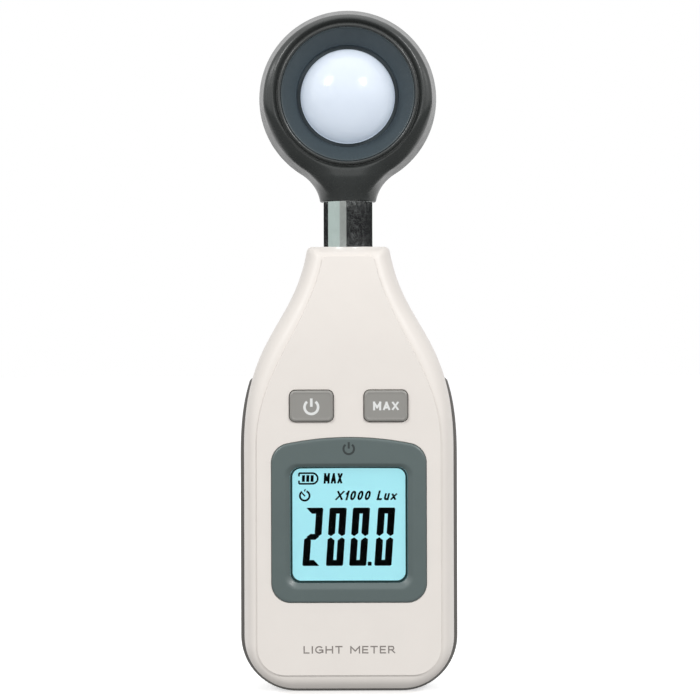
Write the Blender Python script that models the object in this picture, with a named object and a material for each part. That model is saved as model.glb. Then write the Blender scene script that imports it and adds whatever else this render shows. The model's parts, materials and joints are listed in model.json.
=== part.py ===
"""Handheld light meter: a swivelling sensor head on a chrome neck over a two-part hand case.

The meter stands upright. +X is the viewer's right, -Y is the front, +Z is up, and the origin is
the centre of the footprint. Every size below is in millimetres; place() turns it into metres.
"""
import math

import bmesh
import bpy
from mathutils import Matrix, Vector

MM = 0.001
GAP = 0.3  # clearance between two pieces that rest on each other

# Case outline, seen from the front
CASE_HALF_WIDTH = 25.35
CASE_BOTTOM = 1.0
CASE_TOP = 107.7
CASE_CORNER = 12.7
NECK_HALF_WIDTH = 9.9
RIM_HALF_WIDTH = 26.28
RIM_CORNER = 13.6
RIM_TOP = 76.0
FACE_HALF_WIDTH = 21.9
FACE_BOTTOM = 5.3
FACE_TOP = 105.1
FACE_CORNER = 6.7
BACK_HALF_WIDTH = 21.5
WALL = 2.0

# Case depth
PARTING = -3.35
FRONT_EDGE = PARTING - GAP / 2
REAR_EDGE = PARTING + GAP / 2
FACE = -13.5
BACK = 14.4
FRONT_INSIDE = -11.4
THINNING_START = 82.0
NECK_THINNING = 0.2
CORNER_STEPS = 5

# Neck, swivel and sensor head
TUBE_R = 6.1
TUBE_BORE_R = 4.2
TUBE_BOTTOM = 95.8
SPIGOT_R = 5.3
SPIGOT_TOP = 124.0
STEM_BOTTOM = 118.4
STEM_R = 6.7
SHELF_BOTTOM = 97.4
SHELF_TOP = 99.2
CHAMBER_TOP = 104.2
CHAMBER_R = 9.2
COLLAR_R = 7.2
LUG_REACH = 8.8
LUG_HALF_WIDTH = 2.6
HEAD_Z = 144.2
HEAD_R = 21.7
HEAD_PARTING = 2.0
FLARE_R = 10.0
MOUTH_R = 16.15
HEAD_SCREW_SEAT = 8.0

# Display, buttons and electronics
WINDOW_HALF_WIDTH = 13.7
WINDOW_BOTTOM = 27.55
WINDOW_TOP = 54.7
WINDOW_MIDDLE = 41.15
PANEL_MIDDLE = 41.5
BEZEL_FRONT = -13.85
BEZEL_BACK = -12.8
BUTTON_X = 8.86
BUTTON_Z = 69.4
BUTTON_WIDTH = 10.3
BUTTON_HEIGHT = 7.4
BUTTON_FRONT = -14.4
BOARD_FRONT = -6.3
BOARD_BACK = -4.7

# Battery bay: three AAA cells side by side
CELL_R = 5.25
CELL_BODY = 43.3
CELL_NUB = 1.0
CELL_PITCH = 10.9
CELL_Y = 7.3
CONTACT_THICKNESS = 0.7
BAY_HALF_WIDTH = 17.2
BAY_BOTTOM = 8.6
BAY_TOP = 60.2
BAY_FLOOR = 1.8
DOOR_INSIDE = 12.9
DOOR_HALF_WIDTH = 18.5
DOOR_BOTTOM = 7.3
DOOR_TOP = 62.0
DOOR_HINGE = (0.0, 13.9, 61.6)

PLATE_Z = 74.0
PLATE_WIDTH = 22.0
PLATE_HEIGHT = 12.0
PLATE_THICKNESS = 0.2
CASE_SCREW_SEAT = 1.5
CASE_SCREWS = ((-20.6, 13.7), (20.6, 13.7), (-12.5, 83.5), (12.5, 83.5))
BOARD_SCREWS = ((-12.0, 17.3), (12.0, 17.3), (-18.0, 66.0), (18.0, 66.0))
HEAD_SCREW_X = 15.4


def clear_scene():
    for item in list(bpy.data.objects):
        bpy.data.objects.remove(item, do_unlink=True)


def material(name, color, roughness, metallic=0.0):
    made = bpy.data.materials.new(name)
    made.use_nodes = True
    made.diffuse_color = (*color, 1.0)
    shader = made.node_tree.nodes["Principled BSDF"]
    shader.inputs["Base Color"].default_value = (*color, 1.0)
    shader.inputs["Roughness"].default_value = roughness
    shader.inputs["Metallic"].default_value = metallic
    return made


# ---------------------------------------------------------------- outlines and solids


def arc(center, radius, start, end, steps):
    """Points on an arc, angles in degrees, both ends included."""
    angles = [math.radians(start + (end - start) * i / steps) for i in range(steps + 1)]
    return [(center[0] + radius * math.cos(a), center[1] + radius * math.sin(a)) for a in angles]


def bezier(points, t):
    a, b, c, d = (Vector(p) for p in points)
    s = 1.0 - t
    return a * s ** 3 + b * 3 * s * s * t + c * 3 * s * t * t + d * t ** 3


def curve_x(points, z):
    """The x of a rising Bezier curve at height z."""
    low, high = 0.0, 1.0
    for _ in range(40):
        middle = (low + high) / 2
        if bezier(points, middle).y < z:
            low = middle
        else:
            high = middle
    return bezier(points, low).x


def mirrored(half):
    """A whole outline from its right half, which runs from the bottom up."""
    return list(half) + [(-x, z) for x, z in reversed(half)]


def rounded_rect(center_x, center_z, width, height, radius, steps=3):
    x, z = width / 2 - radius, height / 2 - radius
    outline = []
    for sign_x, sign_z, start in ((1, -1, -90), (1, 1, 0), (-1, 1, 90), (-1, -1, 180)):
        corner = (center_x + sign_x * x, center_z + sign_z * z)
        outline += arc(corner, radius, start, start + 90, steps)
    return outline


def skin(bm, loops, closed=False):
    """Faces between rings of points that all have the same count."""
    rings = [[bm.verts.new(p) for p in loop] for loop in loops]
    pairs = list(zip(rings, rings[1:]))
    if closed:
        pairs.append((rings[-1], rings[0]))
    for low, high in pairs:
        for i in range(len(low)):
            j = (i + 1) % len(low)
            bm.faces.new((low[i], low[j], high[j], high[i]))
    return rings


def prism(bm, outline, front, back):
    """A flat outline in X and Z, given thickness along Y."""
    rings = skin(bm, [[(x, y, z) for x, z in outline] for y in (front, back)])
    for ring in rings:
        bm.faces.new(ring)


def block(bm, low, high):
    corners = [(low[0], low[2]), (high[0], low[2]), (high[0], high[2]), (low[0], high[2])]
    prism(bm, corners, low[1], high[1])


def cylinder(bm, start, end, radius, segments=24):
    start, end = Vector(start), Vector(end)
    run = end - start
    turn = run.to_track_quat("Z", "Y").to_matrix().to_4x4()
    matrix = Matrix.Translation((start + end) / 2) @ turn
    bmesh.ops.create_cone(bm, cap_ends=True, segments=segments, radius1=radius, radius2=radius,
                          depth=run.length, matrix=matrix)


def turned(bm, profile, center, axis, segments=32, ring=False):
    """Spin (radius, height) points about the axis through center. A ring profile is closed."""
    axis = Vector(axis)
    across = Vector((1, 0, 0))
    verts = [bm.verts.new(Vector(center) + across * r + axis * h) for r, h in profile]
    edges = [bm.edges.new(pair) for pair in zip(verts, verts[1:])]
    if ring:
        edges.append(bm.edges.new((verts[-1], verts[0])))
    bmesh.ops.spin(bm, geom=verts + edges, cent=center, axis=axis, angle=math.tau, steps=segments,
                   use_merge=True)
    bmesh.ops.remove_doubles(bm, verts=bm.verts, dist=0.0005)


def place(name, bm, look, origin=(0, 0, 0), parent=None):
    """Make an object whose mesh is measured from its origin."""
    bmesh.ops.recalc_face_normals(bm, faces=bm.faces)
    origin = Vector(origin)
    for vert in bm.verts:
        vert.co = (vert.co - origin) * MM
    mesh = bpy.data.meshes.new(name)
    bm.to_mesh(mesh)
    bm.free()
    mesh.shade_smooth()
    mesh.set_sharp_from_angle(angle=math.radians(35))
    made = bpy.data.objects.new(name, mesh)
    bpy.context.collection.objects.link(made)
    made.location = origin * MM
    if parent:
        made.parent = parent
        made.location -= parent.location
    if look:
        made.data.materials.append(look)
    return made


def tool(name, bm):
    """A solid that only cuts or adds to another object."""
    made = place(name, bm, None)
    made.hide_render = True
    made.display_type = "WIRE"
    return made


def shape(target, other, operation="DIFFERENCE"):
    step = target.modifiers.new(other.name, "BOOLEAN")
    step.object = other
    step.operation = operation
    step.solver = "EXACT"


def pivot(name, location):
    made = bpy.data.objects.new(name, None)
    made.empty_display_size = 0.01
    made.location = Vector(location) * MM
    bpy.context.collection.objects.link(made)
    return made


def wire(name, route, radius, look, parent=None, tension=3):
    """A round lead along a smooth curve through hand-picked points."""
    points = [Vector(p) for p in route]
    ends = [points[0] * 2 - points[1]] + points + [points[-1] * 2 - points[-2]]
    smooth = []
    for i in range(1, len(ends) - 2):
        for k in range(tension):
            smooth.append(catmull(ends[i - 1:i + 3], k / tension))
    smooth.append(points[-1])
    curve = bpy.data.curves.new(name, "CURVE")
    curve.dimensions = "3D"
    curve.bevel_depth = radius * MM
    curve.bevel_resolution = 1
    curve.use_fill_caps = True
    spline = curve.splines.new("POLY")
    spline.points.add(len(smooth) - 1)
    origin = points[0]
    for target, point in zip(spline.points, smooth):
        target.co = (*((point - origin) * MM), 1.0)
    made = bpy.data.objects.new(name, curve)
    bpy.context.collection.objects.link(made)
    made.location = origin * MM
    if parent:
        made.parent = parent
        made.location -= parent.location
    curve.materials.append(look)
    return made


def catmull(four, t):
    a, b, c, d = four
    return 0.5 * (2 * b + (c - a) * t + (2 * a - 5 * b + 4 * c - d) * t * t
                  + (3 * b - a - 3 * c + d) * t ** 3)


# ---------------------------------------------------------------- case halves

CASE_SIDE = ((CASE_HALF_WIDTH, 59.0), (CASE_HALF_WIDTH, 87.0), (12.9, 87.9), (NECK_HALF_WIDTH, CASE_TOP))
FACE_SIDE = ((FACE_HALF_WIDTH, 60.0), (FACE_HALF_WIDTH, 78.0), (9.2, 88.0), (6.0, FACE_TOP))
BACK_SIDE = ((BACK_HALF_WIDTH, 58.0), (BACK_HALF_WIDTH, 80.0), (10.5, 88.0), (7.4, FACE_TOP))
RIM_SIDE = ((RIM_HALF_WIDTH, 57.0), (RIM_HALF_WIDTH, 66.0), (25.4, 71.0), (24.0, RIM_TOP - 0.6))


def side_points(curve, low, high, inset=0.0, count=11):
    """Evenly spaced heights on a side curve, moved inwards along its normal."""
    found = []
    for i in range(count):
        z = low + (high - low) * i / (count - 1)
        slope = (curve_x(curve, z + 0.2) - curve_x(curve, z - 0.2)) / 0.4
        length = math.hypot(1.0, slope)
        found.append((curve_x(curve, z) - inset / length, z + inset * slope / length))
    return found


def half_outline(bottom, corner, side, top, top_corner):
    """Right half of a case outline: bottom corner, side, top corner."""
    width = side[0][0]
    half = arc((width - corner, bottom + corner), corner, -90, 0, CORNER_STEPS)[:-1] + side
    end = side[-1]
    lift = top - end[1]
    return half + [(end[0] - top_corner * 0.3, end[1] + lift * 0.7), (end[0] - top_corner, top)]


def blend(first, second, weight):
    return [(a + (c - a) * weight, b + (d - b) * weight) for (a, b), (c, d) in zip(first, second)]


def case_depth(y, z):
    """The case gets thinner towards the neck, front and back alike."""
    rise = min(max((z - THINNING_START) / (CASE_TOP - THINNING_START), 0.0), 1.0)
    return PARTING + (y - PARTING) * (1.0 - NECK_THINNING * rise * rise)


def case_solid(bm, levels):
    """A closed solid through half outlines at several depths, each (y, half outline)."""
    loops = []
    for y, half in levels:
        loops.append([(x, case_depth(y, z), z) for x, z in mirrored(half)])
    rings = skin(bm, loops)
    for ring in (rings[0], rings[-1]):
        count = len(ring)
        for i in range(count // 2 - 1):
            bm.faces.new((ring[i], ring[i + 1], ring[count - 2 - i], ring[count - 1 - i]))


def case_half(inset=0.0, top=CASE_TOP, top_corner=1.5):
    side = side_points(CASE_SIDE, CASE_BOTTOM + CASE_CORNER, top - top_corner, inset)
    side[0] = (CASE_HALF_WIDTH - inset, side[0][1])
    return half_outline(CASE_BOTTOM + inset, CASE_CORNER - inset, side, top, top_corner)


def face_half(inset=0.0, top=FACE_TOP, top_corner=1.2):
    side = side_points(FACE_SIDE, FACE_BOTTOM + FACE_CORNER, top - top_corner, inset)
    return half_outline(FACE_BOTTOM + inset, FACE_CORNER - inset, side, top, top_corner)


def rim_half():
    """Rear outline: wider than the front up to the rim's tip, and just inside it above."""
    side = [(curve_x(RIM_SIDE, z), z) for z in (RIM_CORNER, 57.0, 62.0, 66.0, 70.0, 73.4, RIM_TOP - 0.7)]
    side += [(23.6, RIM_TOP - 0.2), (22.9, RIM_TOP + 0.1)]
    side += side_points(CASE_SIDE, RIM_TOP + 1.2, CASE_TOP - 1.7, 0.25, 10)
    return half_outline(0.0, RIM_CORNER, side, CASE_TOP - 0.2, 1.5)


def back_half(like):
    """The flat back's outline, with as many side points as the rim's."""
    side = like[CORNER_STEPS:-2]
    low, high = side[0][1], side[-1][1]
    start, end = FACE_BOTTOM + 9.0, FACE_TOP - 1.2
    heights = [start + (z - low) / (high - low) * (end - start) for x, z in side]
    points = [(curve_x(BACK_SIDE, z), z) for z in heights]
    return half_outline(FACE_BOTTOM, 9.0, points, FACE_TOP, 1.2)


def neck_cutters():
    """The round spaces that the swivelling tube and its collar turn in."""
    bm = bmesh.new()
    cylinder(bm, (0, 0, SHELF_BOTTOM - 1), (0, 0, CASE_TOP + 2), TUBE_R + GAP, 28)
    hole = tool("cut_neck_hole", bm)
    bm = bmesh.new()
    cylinder(bm, (0, 0, SHELF_TOP), (0, 0, CHAMBER_TOP), CHAMBER_R, 24)
    return hole, tool("cut_collar_chamber", bm)


def arched_half(half_width, bottom, radius, shoulder, apex):
    """Right half of the display bezel's outline, whose top edge is a shallow arch."""
    middle = half_width - radius
    height = apex - shoulder
    arch = (middle ** 2 + height ** 2 - radius ** 2) / (2 * (height - radius))
    lean = math.degrees(math.asin(middle / (arch - radius)))
    half = arc((middle, bottom + radius), radius, -90, 0, 5)
    half += arc((middle, shoulder), radius, 0, 90 - lean, 5)
    return half + arc((0, apex - arch), arch, 90 - lean, 90 - lean / 6, 4)[1:]


def bezel_outline(grow=0.0):
    return mirrored(arched_half(18.45 + grow, 22.6 - grow, 4.6 + grow, 55.9, 61.94 + grow))


def opening_outline(grow):
    return mirrored(arched_half(WINDOW_HALF_WIDTH + grow, WINDOW_BOTTOM - grow, 2.2 + grow * 0.5,
                                WINDOW_TOP - 2.25, WINDOW_TOP + grow * 0.5 + 0.02))


def front_cover(look, neck_tools):
    outer, face = case_half(), face_half()
    bm = bmesh.new()
    steps = ((FRONT_EDGE, 0.0), (-8.5, 0.07), (-11.2, 0.3), (-12.55, 0.68), (-13.05, 0.97), (FACE, 1.0))
    case_solid(bm, [(y, blend(outer, face, w)) for y, w in steps])
    cover = place("front_cover", bm, look, (0, FRONT_EDGE, 0))
    inner = case_half(WALL, SHELF_BOTTOM, 0.5)
    inner_face = face_half(WALL, SHELF_BOTTOM - 2, 0.5)
    bm = bmesh.new()
    steps = ((FRONT_EDGE + 2, 0.0), (-8.3, 0.07), (FRONT_INSIDE, 0.72))
    case_solid(bm, [(y, blend(inner, inner_face, w)) for y, w in steps])
    shape(cover, tool("cut_front_cavity", bm))
    for i, (x, z) in enumerate(CASE_SCREWS):
        bm = bmesh.new()
        cylinder(bm, (x, FRONT_EDGE, z), (x, -12.0, z), 2.3, 12)
        shape(cover, tool(f"add_front_boss_{i + 1}", bm), "UNION")
    for i, (x, z) in enumerate(BOARD_SCREWS):
        bm = bmesh.new()
        cylinder(bm, (x, BOARD_FRONT - GAP, z), (x, -12.0, z), 2.0, 12)
        shape(cover, tool(f"add_board_boss_{i + 1}", bm), "UNION")
    bm = bmesh.new()
    prism(bm, bezel_outline(GAP), FACE - 2, BEZEL_BACK + GAP)
    shape(cover, tool("cut_bezel_seat", bm))
    bm = bmesh.new()
    prism(bm, rounded_rect(0, WINDOW_MIDDLE, 31.0, 30.6, 1.0, 2), FACE - 2, FRONT_INSIDE + 2)
    shape(cover, tool("cut_window_opening", bm))
    for side, name in ((-1, "left"), (1, "right")):
        bm = bmesh.new()
        outline = rounded_rect(side * BUTTON_X, BUTTON_Z, BUTTON_WIDTH + 2 * GAP,
                               BUTTON_HEIGHT + 2 * GAP, 1.6)
        prism(bm, outline, FACE - 2, FRONT_INSIDE + 2)
        shape(cover, tool(f"cut_button_{name}", bm))
    for part in neck_tools:
        shape(cover, part)
    bm = bmesh.new()
    block(bm, (-9.4, -9.6, SHELF_TOP - 0.5), (-3.0, FRONT_EDGE - 0.1, SHELF_TOP + 2.7))
    stop = tool("add_swivel_stop", bm)
    bm = bmesh.new()
    cylinder(bm, (0, 0, SHELF_TOP - 1), (0, 0, CHAMBER_TOP + 1), COLLAR_R + GAP, 24)
    shape(stop, tool("cut_swivel_stop", bm))
    shape(cover, stop, "UNION")
    for group, size, depth in ((CASE_SCREWS, 1.05, -11.2), (BOARD_SCREWS, 0.9, -10.8)):
        for i, (x, z) in enumerate(group):
            bm = bmesh.new()
            cylinder(bm, (x, FRONT_EDGE + 1, z), (x, depth, z), size, 8)
            shape(cover, tool(f"cut_pilot_{size}_{i + 1}", bm))
    return cover


def rear_cover(look, neck_tools):
    rim = rim_half()
    back = back_half(rim)
    bm = bmesh.new()
    steps = ((REAR_EDGE, 0.0), (8.5, 0.0), (11.6, 0.22), (13.4, 0.55), (BACK, 1.0))
    case_solid(bm, [(y, blend(rim, back, w)) for y, w in steps])
    cover = place("rear_cover", bm, look, (0, REAR_EDGE, 0))
    bm = bmesh.new()
    inner = case_half(WALL, SHELF_BOTTOM, 0.5)
    case_solid(bm, [(REAR_EDGE - 1, inner), (BAY_FLOOR - 1.5, inner)])
    shape(cover, tool("cut_rear_cavity", bm))
    upper = side_points(CASE_SIDE, BAY_TOP + 4.2, SHELF_BOTTOM - 0.9, WALL + 0.2)
    upper_back = side_points(BACK_SIDE, BAY_TOP + 4.2, SHELF_BOTTOM - 2.5, WALL)
    upper = half_outline(BAY_TOP + 3.0, 1.0, upper, SHELF_BOTTOM - 0.4, 0.5)
    upper_back = half_outline(BAY_TOP + 3.0, 1.0, upper_back, SHELF_BOTTOM - 2, 0.5)
    bm = bmesh.new()
    steps = ((REAR_EDGE + 1, 0.0), (8.5, 0.03), (12.4, 0.7))
    case_solid(bm, [(y, blend(upper, upper_back, w)) for y, w in steps])
    shape(cover, tool("cut_upper_cavity", bm))
    bm = bmesh.new()
    block(bm, (-14.0, REAR_EDGE + 1, 2.2), (14.0, 8.0, 7.0))
    shape(cover, tool("cut_foot_pocket", bm))
    for side, name in ((-1, "left"), (1, "right")):
        bm = bmesh.new()
        low, high = sorted((side * 18.8, side * 23.8))
        block(bm, (low, REAR_EDGE + 1, 18.5), (high, 11.3, BAY_TOP))
        shape(cover, tool(f"cut_side_pocket_{name}", bm))
    for i, (x, z) in enumerate(CASE_SCREWS):
        bm = bmesh.new()
        cylinder(bm, (x, REAR_EDGE, z), (x, 13.0, z), 3.2, 14)
        shape(cover, tool(f"add_rear_boss_{i + 1}", bm), "UNION")
    bm = bmesh.new()
    block(bm, (-BAY_HALF_WIDTH, BAY_FLOOR, BAY_BOTTOM), (BAY_HALF_WIDTH, BACK + 1, BAY_TOP))
    shape(cover, tool("cut_battery_bay", bm))
    bm = bmesh.new()
    middle = (DOOR_BOTTOM + DOOR_TOP) / 2
    size = (2 * DOOR_HALF_WIDTH + 0.8, DOOR_TOP - DOOR_BOTTOM + 0.8)
    prism(bm, rounded_rect(0, middle, *size, 2.4), DOOR_INSIDE - GAP, BACK + 2)
    shape(cover, tool("cut_door_seat", bm))
    for side, name in ((-1, "left"), (1, "right")):
        bm = bmesh.new()
        center = side * CELL_PITCH / 2
        block(bm, (center - 2.2, 10.4, BAY_TOP - 1), (center + 2.2, DOOR_INSIDE, DOOR_TOP + 0.45))
        shape(cover, tool(f"cut_tongue_slot_{name}", bm))
    bm = bmesh.new()
    block(bm, (-4.4, 11.1, DOOR_BOTTOM - 0.1), (4.4, DOOR_INSIDE, BAY_BOTTOM + 1))
    shape(cover, tool("cut_latch_slot", bm))
    bm = bmesh.new()
    size = (PLATE_WIDTH + 2 * GAP, PLATE_HEIGHT + 2 * GAP)
    prism(bm, rounded_rect(0, PLATE_Z, *size, 1.3), BACK - PLATE_THICKNESS - GAP, BACK + 1)
    shape(cover, tool("cut_plate_seat", bm))
    for x, y, z in ((CELL_PITCH, 6.0, BAY_TOP), (-CELL_PITCH, 5.0, BAY_BOTTOM)):
        bm = bmesh.new()
        block(bm, (x - 1.6, y - 2.0, z - 4.0), (x + 1.6, y + 2.0, z + 4.0))
        shape(cover, tool(f"cut_lead_slot_{int(z)}", bm))
    for part in neck_tools:
        shape(cover, part)
    for i, (x, z) in enumerate(CASE_SCREWS):
        bm = bmesh.new()
        cylinder(bm, (x, REAR_EDGE - 1, z), (x, 3.0, z), 1.05, 8)
        shape(cover, tool(f"cut_screw_hole_{i + 1}", bm))
        bm = bmesh.new()
        cylinder(bm, (x, CASE_SCREW_SEAT, z), (x, BACK + 1, z), 2.4, 14)
        shape(cover, tool(f"cut_screw_well_{i + 1}", bm))
    return cover


def screw(name, tip, seat, look, reach, parent=None, head_r=2.0):
    """A pan-head screw along Y: its head stands behind the seat and its tip points forwards."""
    x, z = tip
    bm = bmesh.new()
    profile = [(0.0, -reach), (0.45, -reach), (0.75, 0.9 - reach), (0.75, 0.0), (head_r, 0.0),
               (head_r, 0.8), (head_r * 0.6, 1.4), (0.0, 1.4)]
    turned(bm, profile, (x, seat, z), (0, 1, 0), 10)
    return place(name, bm, look, (x, seat, z), parent)


# ---------------------------------------------------------------- display and electronics


def display(looks):
    bm = bmesh.new()
    outer = bezel_outline()
    rings = [[(x, BEZEL_FRONT, z) for x, z in outer],
             [(x, BEZEL_FRONT, z) for x, z in opening_outline(1.2)],
             [(x, BEZEL_BACK, z) for x, z in opening_outline(0.0)],
             [(x, BEZEL_BACK, z) for x, z in outer]]
    skin(bm, rings, closed=True)
    place("lcd_bezel", bm, looks["bezel"], (0, BEZEL_BACK, WINDOW_MIDDLE))
    parts = (("lcd_window", "window", (0, WINDOW_MIDDLE, 30.4, 30.0, 0.8), -12.2, -11.2),
             ("lcd_panel", "lcd", (0, PANEL_MIDDLE, 33.0, 35.0, 0.4), -10.9, -9.2),
             ("lcd_backlight", "backlight", (0, PANEL_MIDDLE, 31.0, 27.6, 0.4), -8.9, -6.9),
             ("zebra_strip_upper", "elastomer", (0, 57.3, 28.0, 2.0, 0.3), -8.9, -6.6),
             ("zebra_strip_lower", "elastomer", (0, 25.7, 28.0, 2.0, 0.3), -8.9, -6.6))
    for name, look, outline, front, back in parts:
        bm = bmesh.new()
        prism(bm, rounded_rect(*outline, 2), front, back)
        place(name, bm, looks[look], (0, back, outline[1]))
    bm = bmesh.new()
    outer = rounded_rect(0, PANEL_MIDDLE, 37.2, 39.2, 1.2, 2)
    inner = rounded_rect(0, PANEL_MIDDLE, 33.6, 35.6, 0.5, 2)
    rings = [[(x, y, z) for x, z in outline] for outline, y in
             ((outer, -11.0), (inner, -11.0), (inner, -6.6), (outer, -6.6))]
    skin(bm, rings, closed=True)
    place("lcd_holder", bm, looks["holder"], (0, -6.6, PANEL_MIDDLE))


def electronics(looks):
    bm = bmesh.new()
    half = [(13.0, 14.5), (16.4, 15.4), (20.8, 21.4), (20.8, 66.0), (17.4, 79.0)]
    prism(bm, mirrored(half), BOARD_FRONT, BOARD_BACK)
    board = place("main_board", bm, looks["board"], (0, BOARD_BACK, 45))
    for i, (x, z) in enumerate(BOARD_SCREWS):
        bm = bmesh.new()
        cylinder(bm, (x, BOARD_FRONT - 1, z), (x, BOARD_BACK + 1, z), 1.05, 8)
        shape(board, tool(f"cut_board_hole_{i + 1}", bm))
        screw(f"board_screw_{i + 1}", (x, z), BOARD_BACK + GAP, looks["steel"], 5.6, head_r=1.7)
    bm = bmesh.new()
    block(bm, (-6.0, BOARD_BACK + GAP, 38.0), (6.0, BOARD_BACK + 1.9, 50.0))
    place("controller_chip", bm, looks["chip"], (0, BOARD_BACK + GAP, 44))
    bm = bmesh.new()
    cylinder(bm, (13.0, BOARD_BACK + GAP, 55.0), (13.0, 0.0, 55.0), 2.5, 20)
    place("board_capacitor", bm, looks["steel"], (13.0, BOARD_BACK + GAP, 55.0))
    bm = bmesh.new()
    block(bm, (-4.0, BOARD_BACK + GAP, 70.0), (4.0, -1.0, 76.0))
    place("sensor_plug", bm, looks["holder"], (0, BOARD_BACK + GAP, 73))


def button(name, side, looks):
    """A rigid cap with a retaining flange, and the tact switch plunger it presses."""
    x = side * BUTTON_X
    moving = pivot(f"{name}_travel", (x, BUTTON_FRONT, BUTTON_Z))
    cap = rounded_rect(x, BUTTON_Z, BUTTON_WIDTH, BUTTON_HEIGHT, 1.3)
    crown = rounded_rect(x, BUTTON_Z, BUTTON_WIDTH - 0.9, BUTTON_HEIGHT - 0.9, 1.0)
    flange = rounded_rect(x, BUTTON_Z, BUTTON_WIDTH + 1.8, BUTTON_HEIGHT + 1.8, 1.5)
    inside = FRONT_INSIDE + GAP
    levels = ((crown, BUTTON_FRONT), (cap, BUTTON_FRONT + 0.4), (cap, inside), (flange, inside),
              (flange, inside + 0.7))
    bm = bmesh.new()
    rings = skin(bm, [[(px, y, pz) for px, pz in outline] for outline, y in levels])
    bm.faces.new(rings[0])
    bm.faces.new(rings[-1])
    place(f"{name}_button", bm, looks["button"], (x, BUTTON_FRONT, BUTTON_Z), moving)
    top = inside + 0.7 + GAP
    bm = bmesh.new()
    cylinder(bm, (x, top, BUTTON_Z), (x, top + 2.0, BUTTON_Z), 1.7, 16)
    place(f"{name}_switch_plunger", bm, looks["chip"], (x, top, BUTTON_Z), moving)
    bm = bmesh.new()
    block(bm, (x - 3.0, -9.1, BUTTON_Z - 3.0), (x + 3.0, BOARD_FRONT - GAP, BUTTON_Z + 3.0))
    body = place(f"{name}_switch", bm, looks["steel"], (x, BOARD_FRONT - GAP, BUTTON_Z))
    bm = bmesh.new()
    cylinder(bm, (x, -10.5, BUTTON_Z), (x, -7.1, BUTTON_Z), 2.0, 16)
    shape(body, tool(f"cut_{name}_switch", bm))


# ---------------------------------------------------------------- power


def battery(index, looks):
    """One AAA cell. The outer two point up and the middle one down."""
    x = (index - 1) * CELL_PITCH
    up = 1 if index != 1 else -1
    reach = CONTACT_THICKNESS + GAP
    nub = (BAY_TOP if up > 0 else BAY_BOTTOM) - up * reach
    length = CELL_NUB + CELL_BODY
    profile = [(0, 0), (1.9, 0), (1.9, -CELL_NUB), (CELL_R - 0.5, -CELL_NUB), (CELL_R, -CELL_NUB - 0.5),
               (CELL_R, 0.4 - length), (CELL_R - 0.4, -length), (0, -length)]
    bm = bmesh.new()
    turned(bm, profile, (x, CELL_Y, nub), (0, 0, up), 16)
    place(f"battery_{index + 1}", bm, looks["cell"], (x, CELL_Y, nub))
    far = nub - up * (length + GAP)
    plate = (BAY_BOTTOM if up > 0 else BAY_TOP) + up * reach
    spring(f"battery_spring_{index + 1}", x, plate, far, looks["steel"])


def spring(name, x, start, end, look):
    """A conical contact spring between its plate and the flat end of a cell."""
    turns, steps, wire_r = 3.0, 8, 0.3
    total = int(turns * steps)
    sign = 1 if end > start else -1
    low, high = start + sign * wire_r, end - sign * wire_r
    curve = bpy.data.curves.new(name, "CURVE")
    curve.dimensions = "3D"
    curve.bevel_depth = wire_r * MM
    curve.bevel_resolution = 0
    curve.use_fill_caps = True
    spline = curve.splines.new("POLY")
    spline.points.add(total)
    for i, point in enumerate(spline.points):
        t = i / total
        angle = math.tau * turns * t
        radius = 3.6 - 1.4 * t
        place_at = Vector((radius * math.cos(angle), radius * math.sin(angle), (high - low) * t))
        point.co = (*(place_at * MM), 1.0)
    made = bpy.data.objects.new(name, curve)
    bpy.context.collection.objects.link(made)
    made.location = Vector((x, CELL_Y, low)) * MM
    curve.materials.append(look)


def contacts(looks):
    """Flat plates on the bay's end walls: one for each free pole and two that join cells."""
    plates = (("battery_contact_positive", CELL_PITCH, CELL_PITCH, BAY_TOP),
              ("battery_link_top", -CELL_PITCH, 0.0, BAY_TOP),
              ("battery_link_bottom", 0.0, CELL_PITCH, BAY_BOTTOM),
              ("battery_contact_negative", -CELL_PITCH, -CELL_PITCH, BAY_BOTTOM))
    for name, left, right, wall in plates:
        inward = -1 if wall == BAY_TOP else 1
        low, high = sorted((wall + inward * GAP, wall + inward * CONTACT_THICKNESS))
        bm = bmesh.new()
        block(bm, (left - 4.2, 3.4, low), (right + 4.2, 10.2, high))
        place(name, bm, looks["steel"], ((left + right) / 2, CELL_Y, low))
    wire("battery_lead_red", ((10.9, 6.0, BAY_TOP + 0.5), (10.9, 5.0, BAY_TOP + 5.0),
                              (12.0, 1.0, BAY_TOP + 8.0), (12.4, -3.0, BAY_TOP + 5.0),
                              (12.4, BOARD_BACK + 1.0, BAY_TOP + 2.5)), 0.6, looks["lead_red"])
    wire("battery_lead_black", ((-10.9, 5.0, BAY_BOTTOM - 0.5), (-11.2, 3.8, BAY_BOTTOM - 3.8),
                                (-10.5, 0.0, 5.4), (-8.5, -2.6, 9.0), (-8.0, -3.2, 16.0),
                                (-8.0, BOARD_BACK + 1.0, 20.0)), 0.6, looks["lead_black"])


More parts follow.
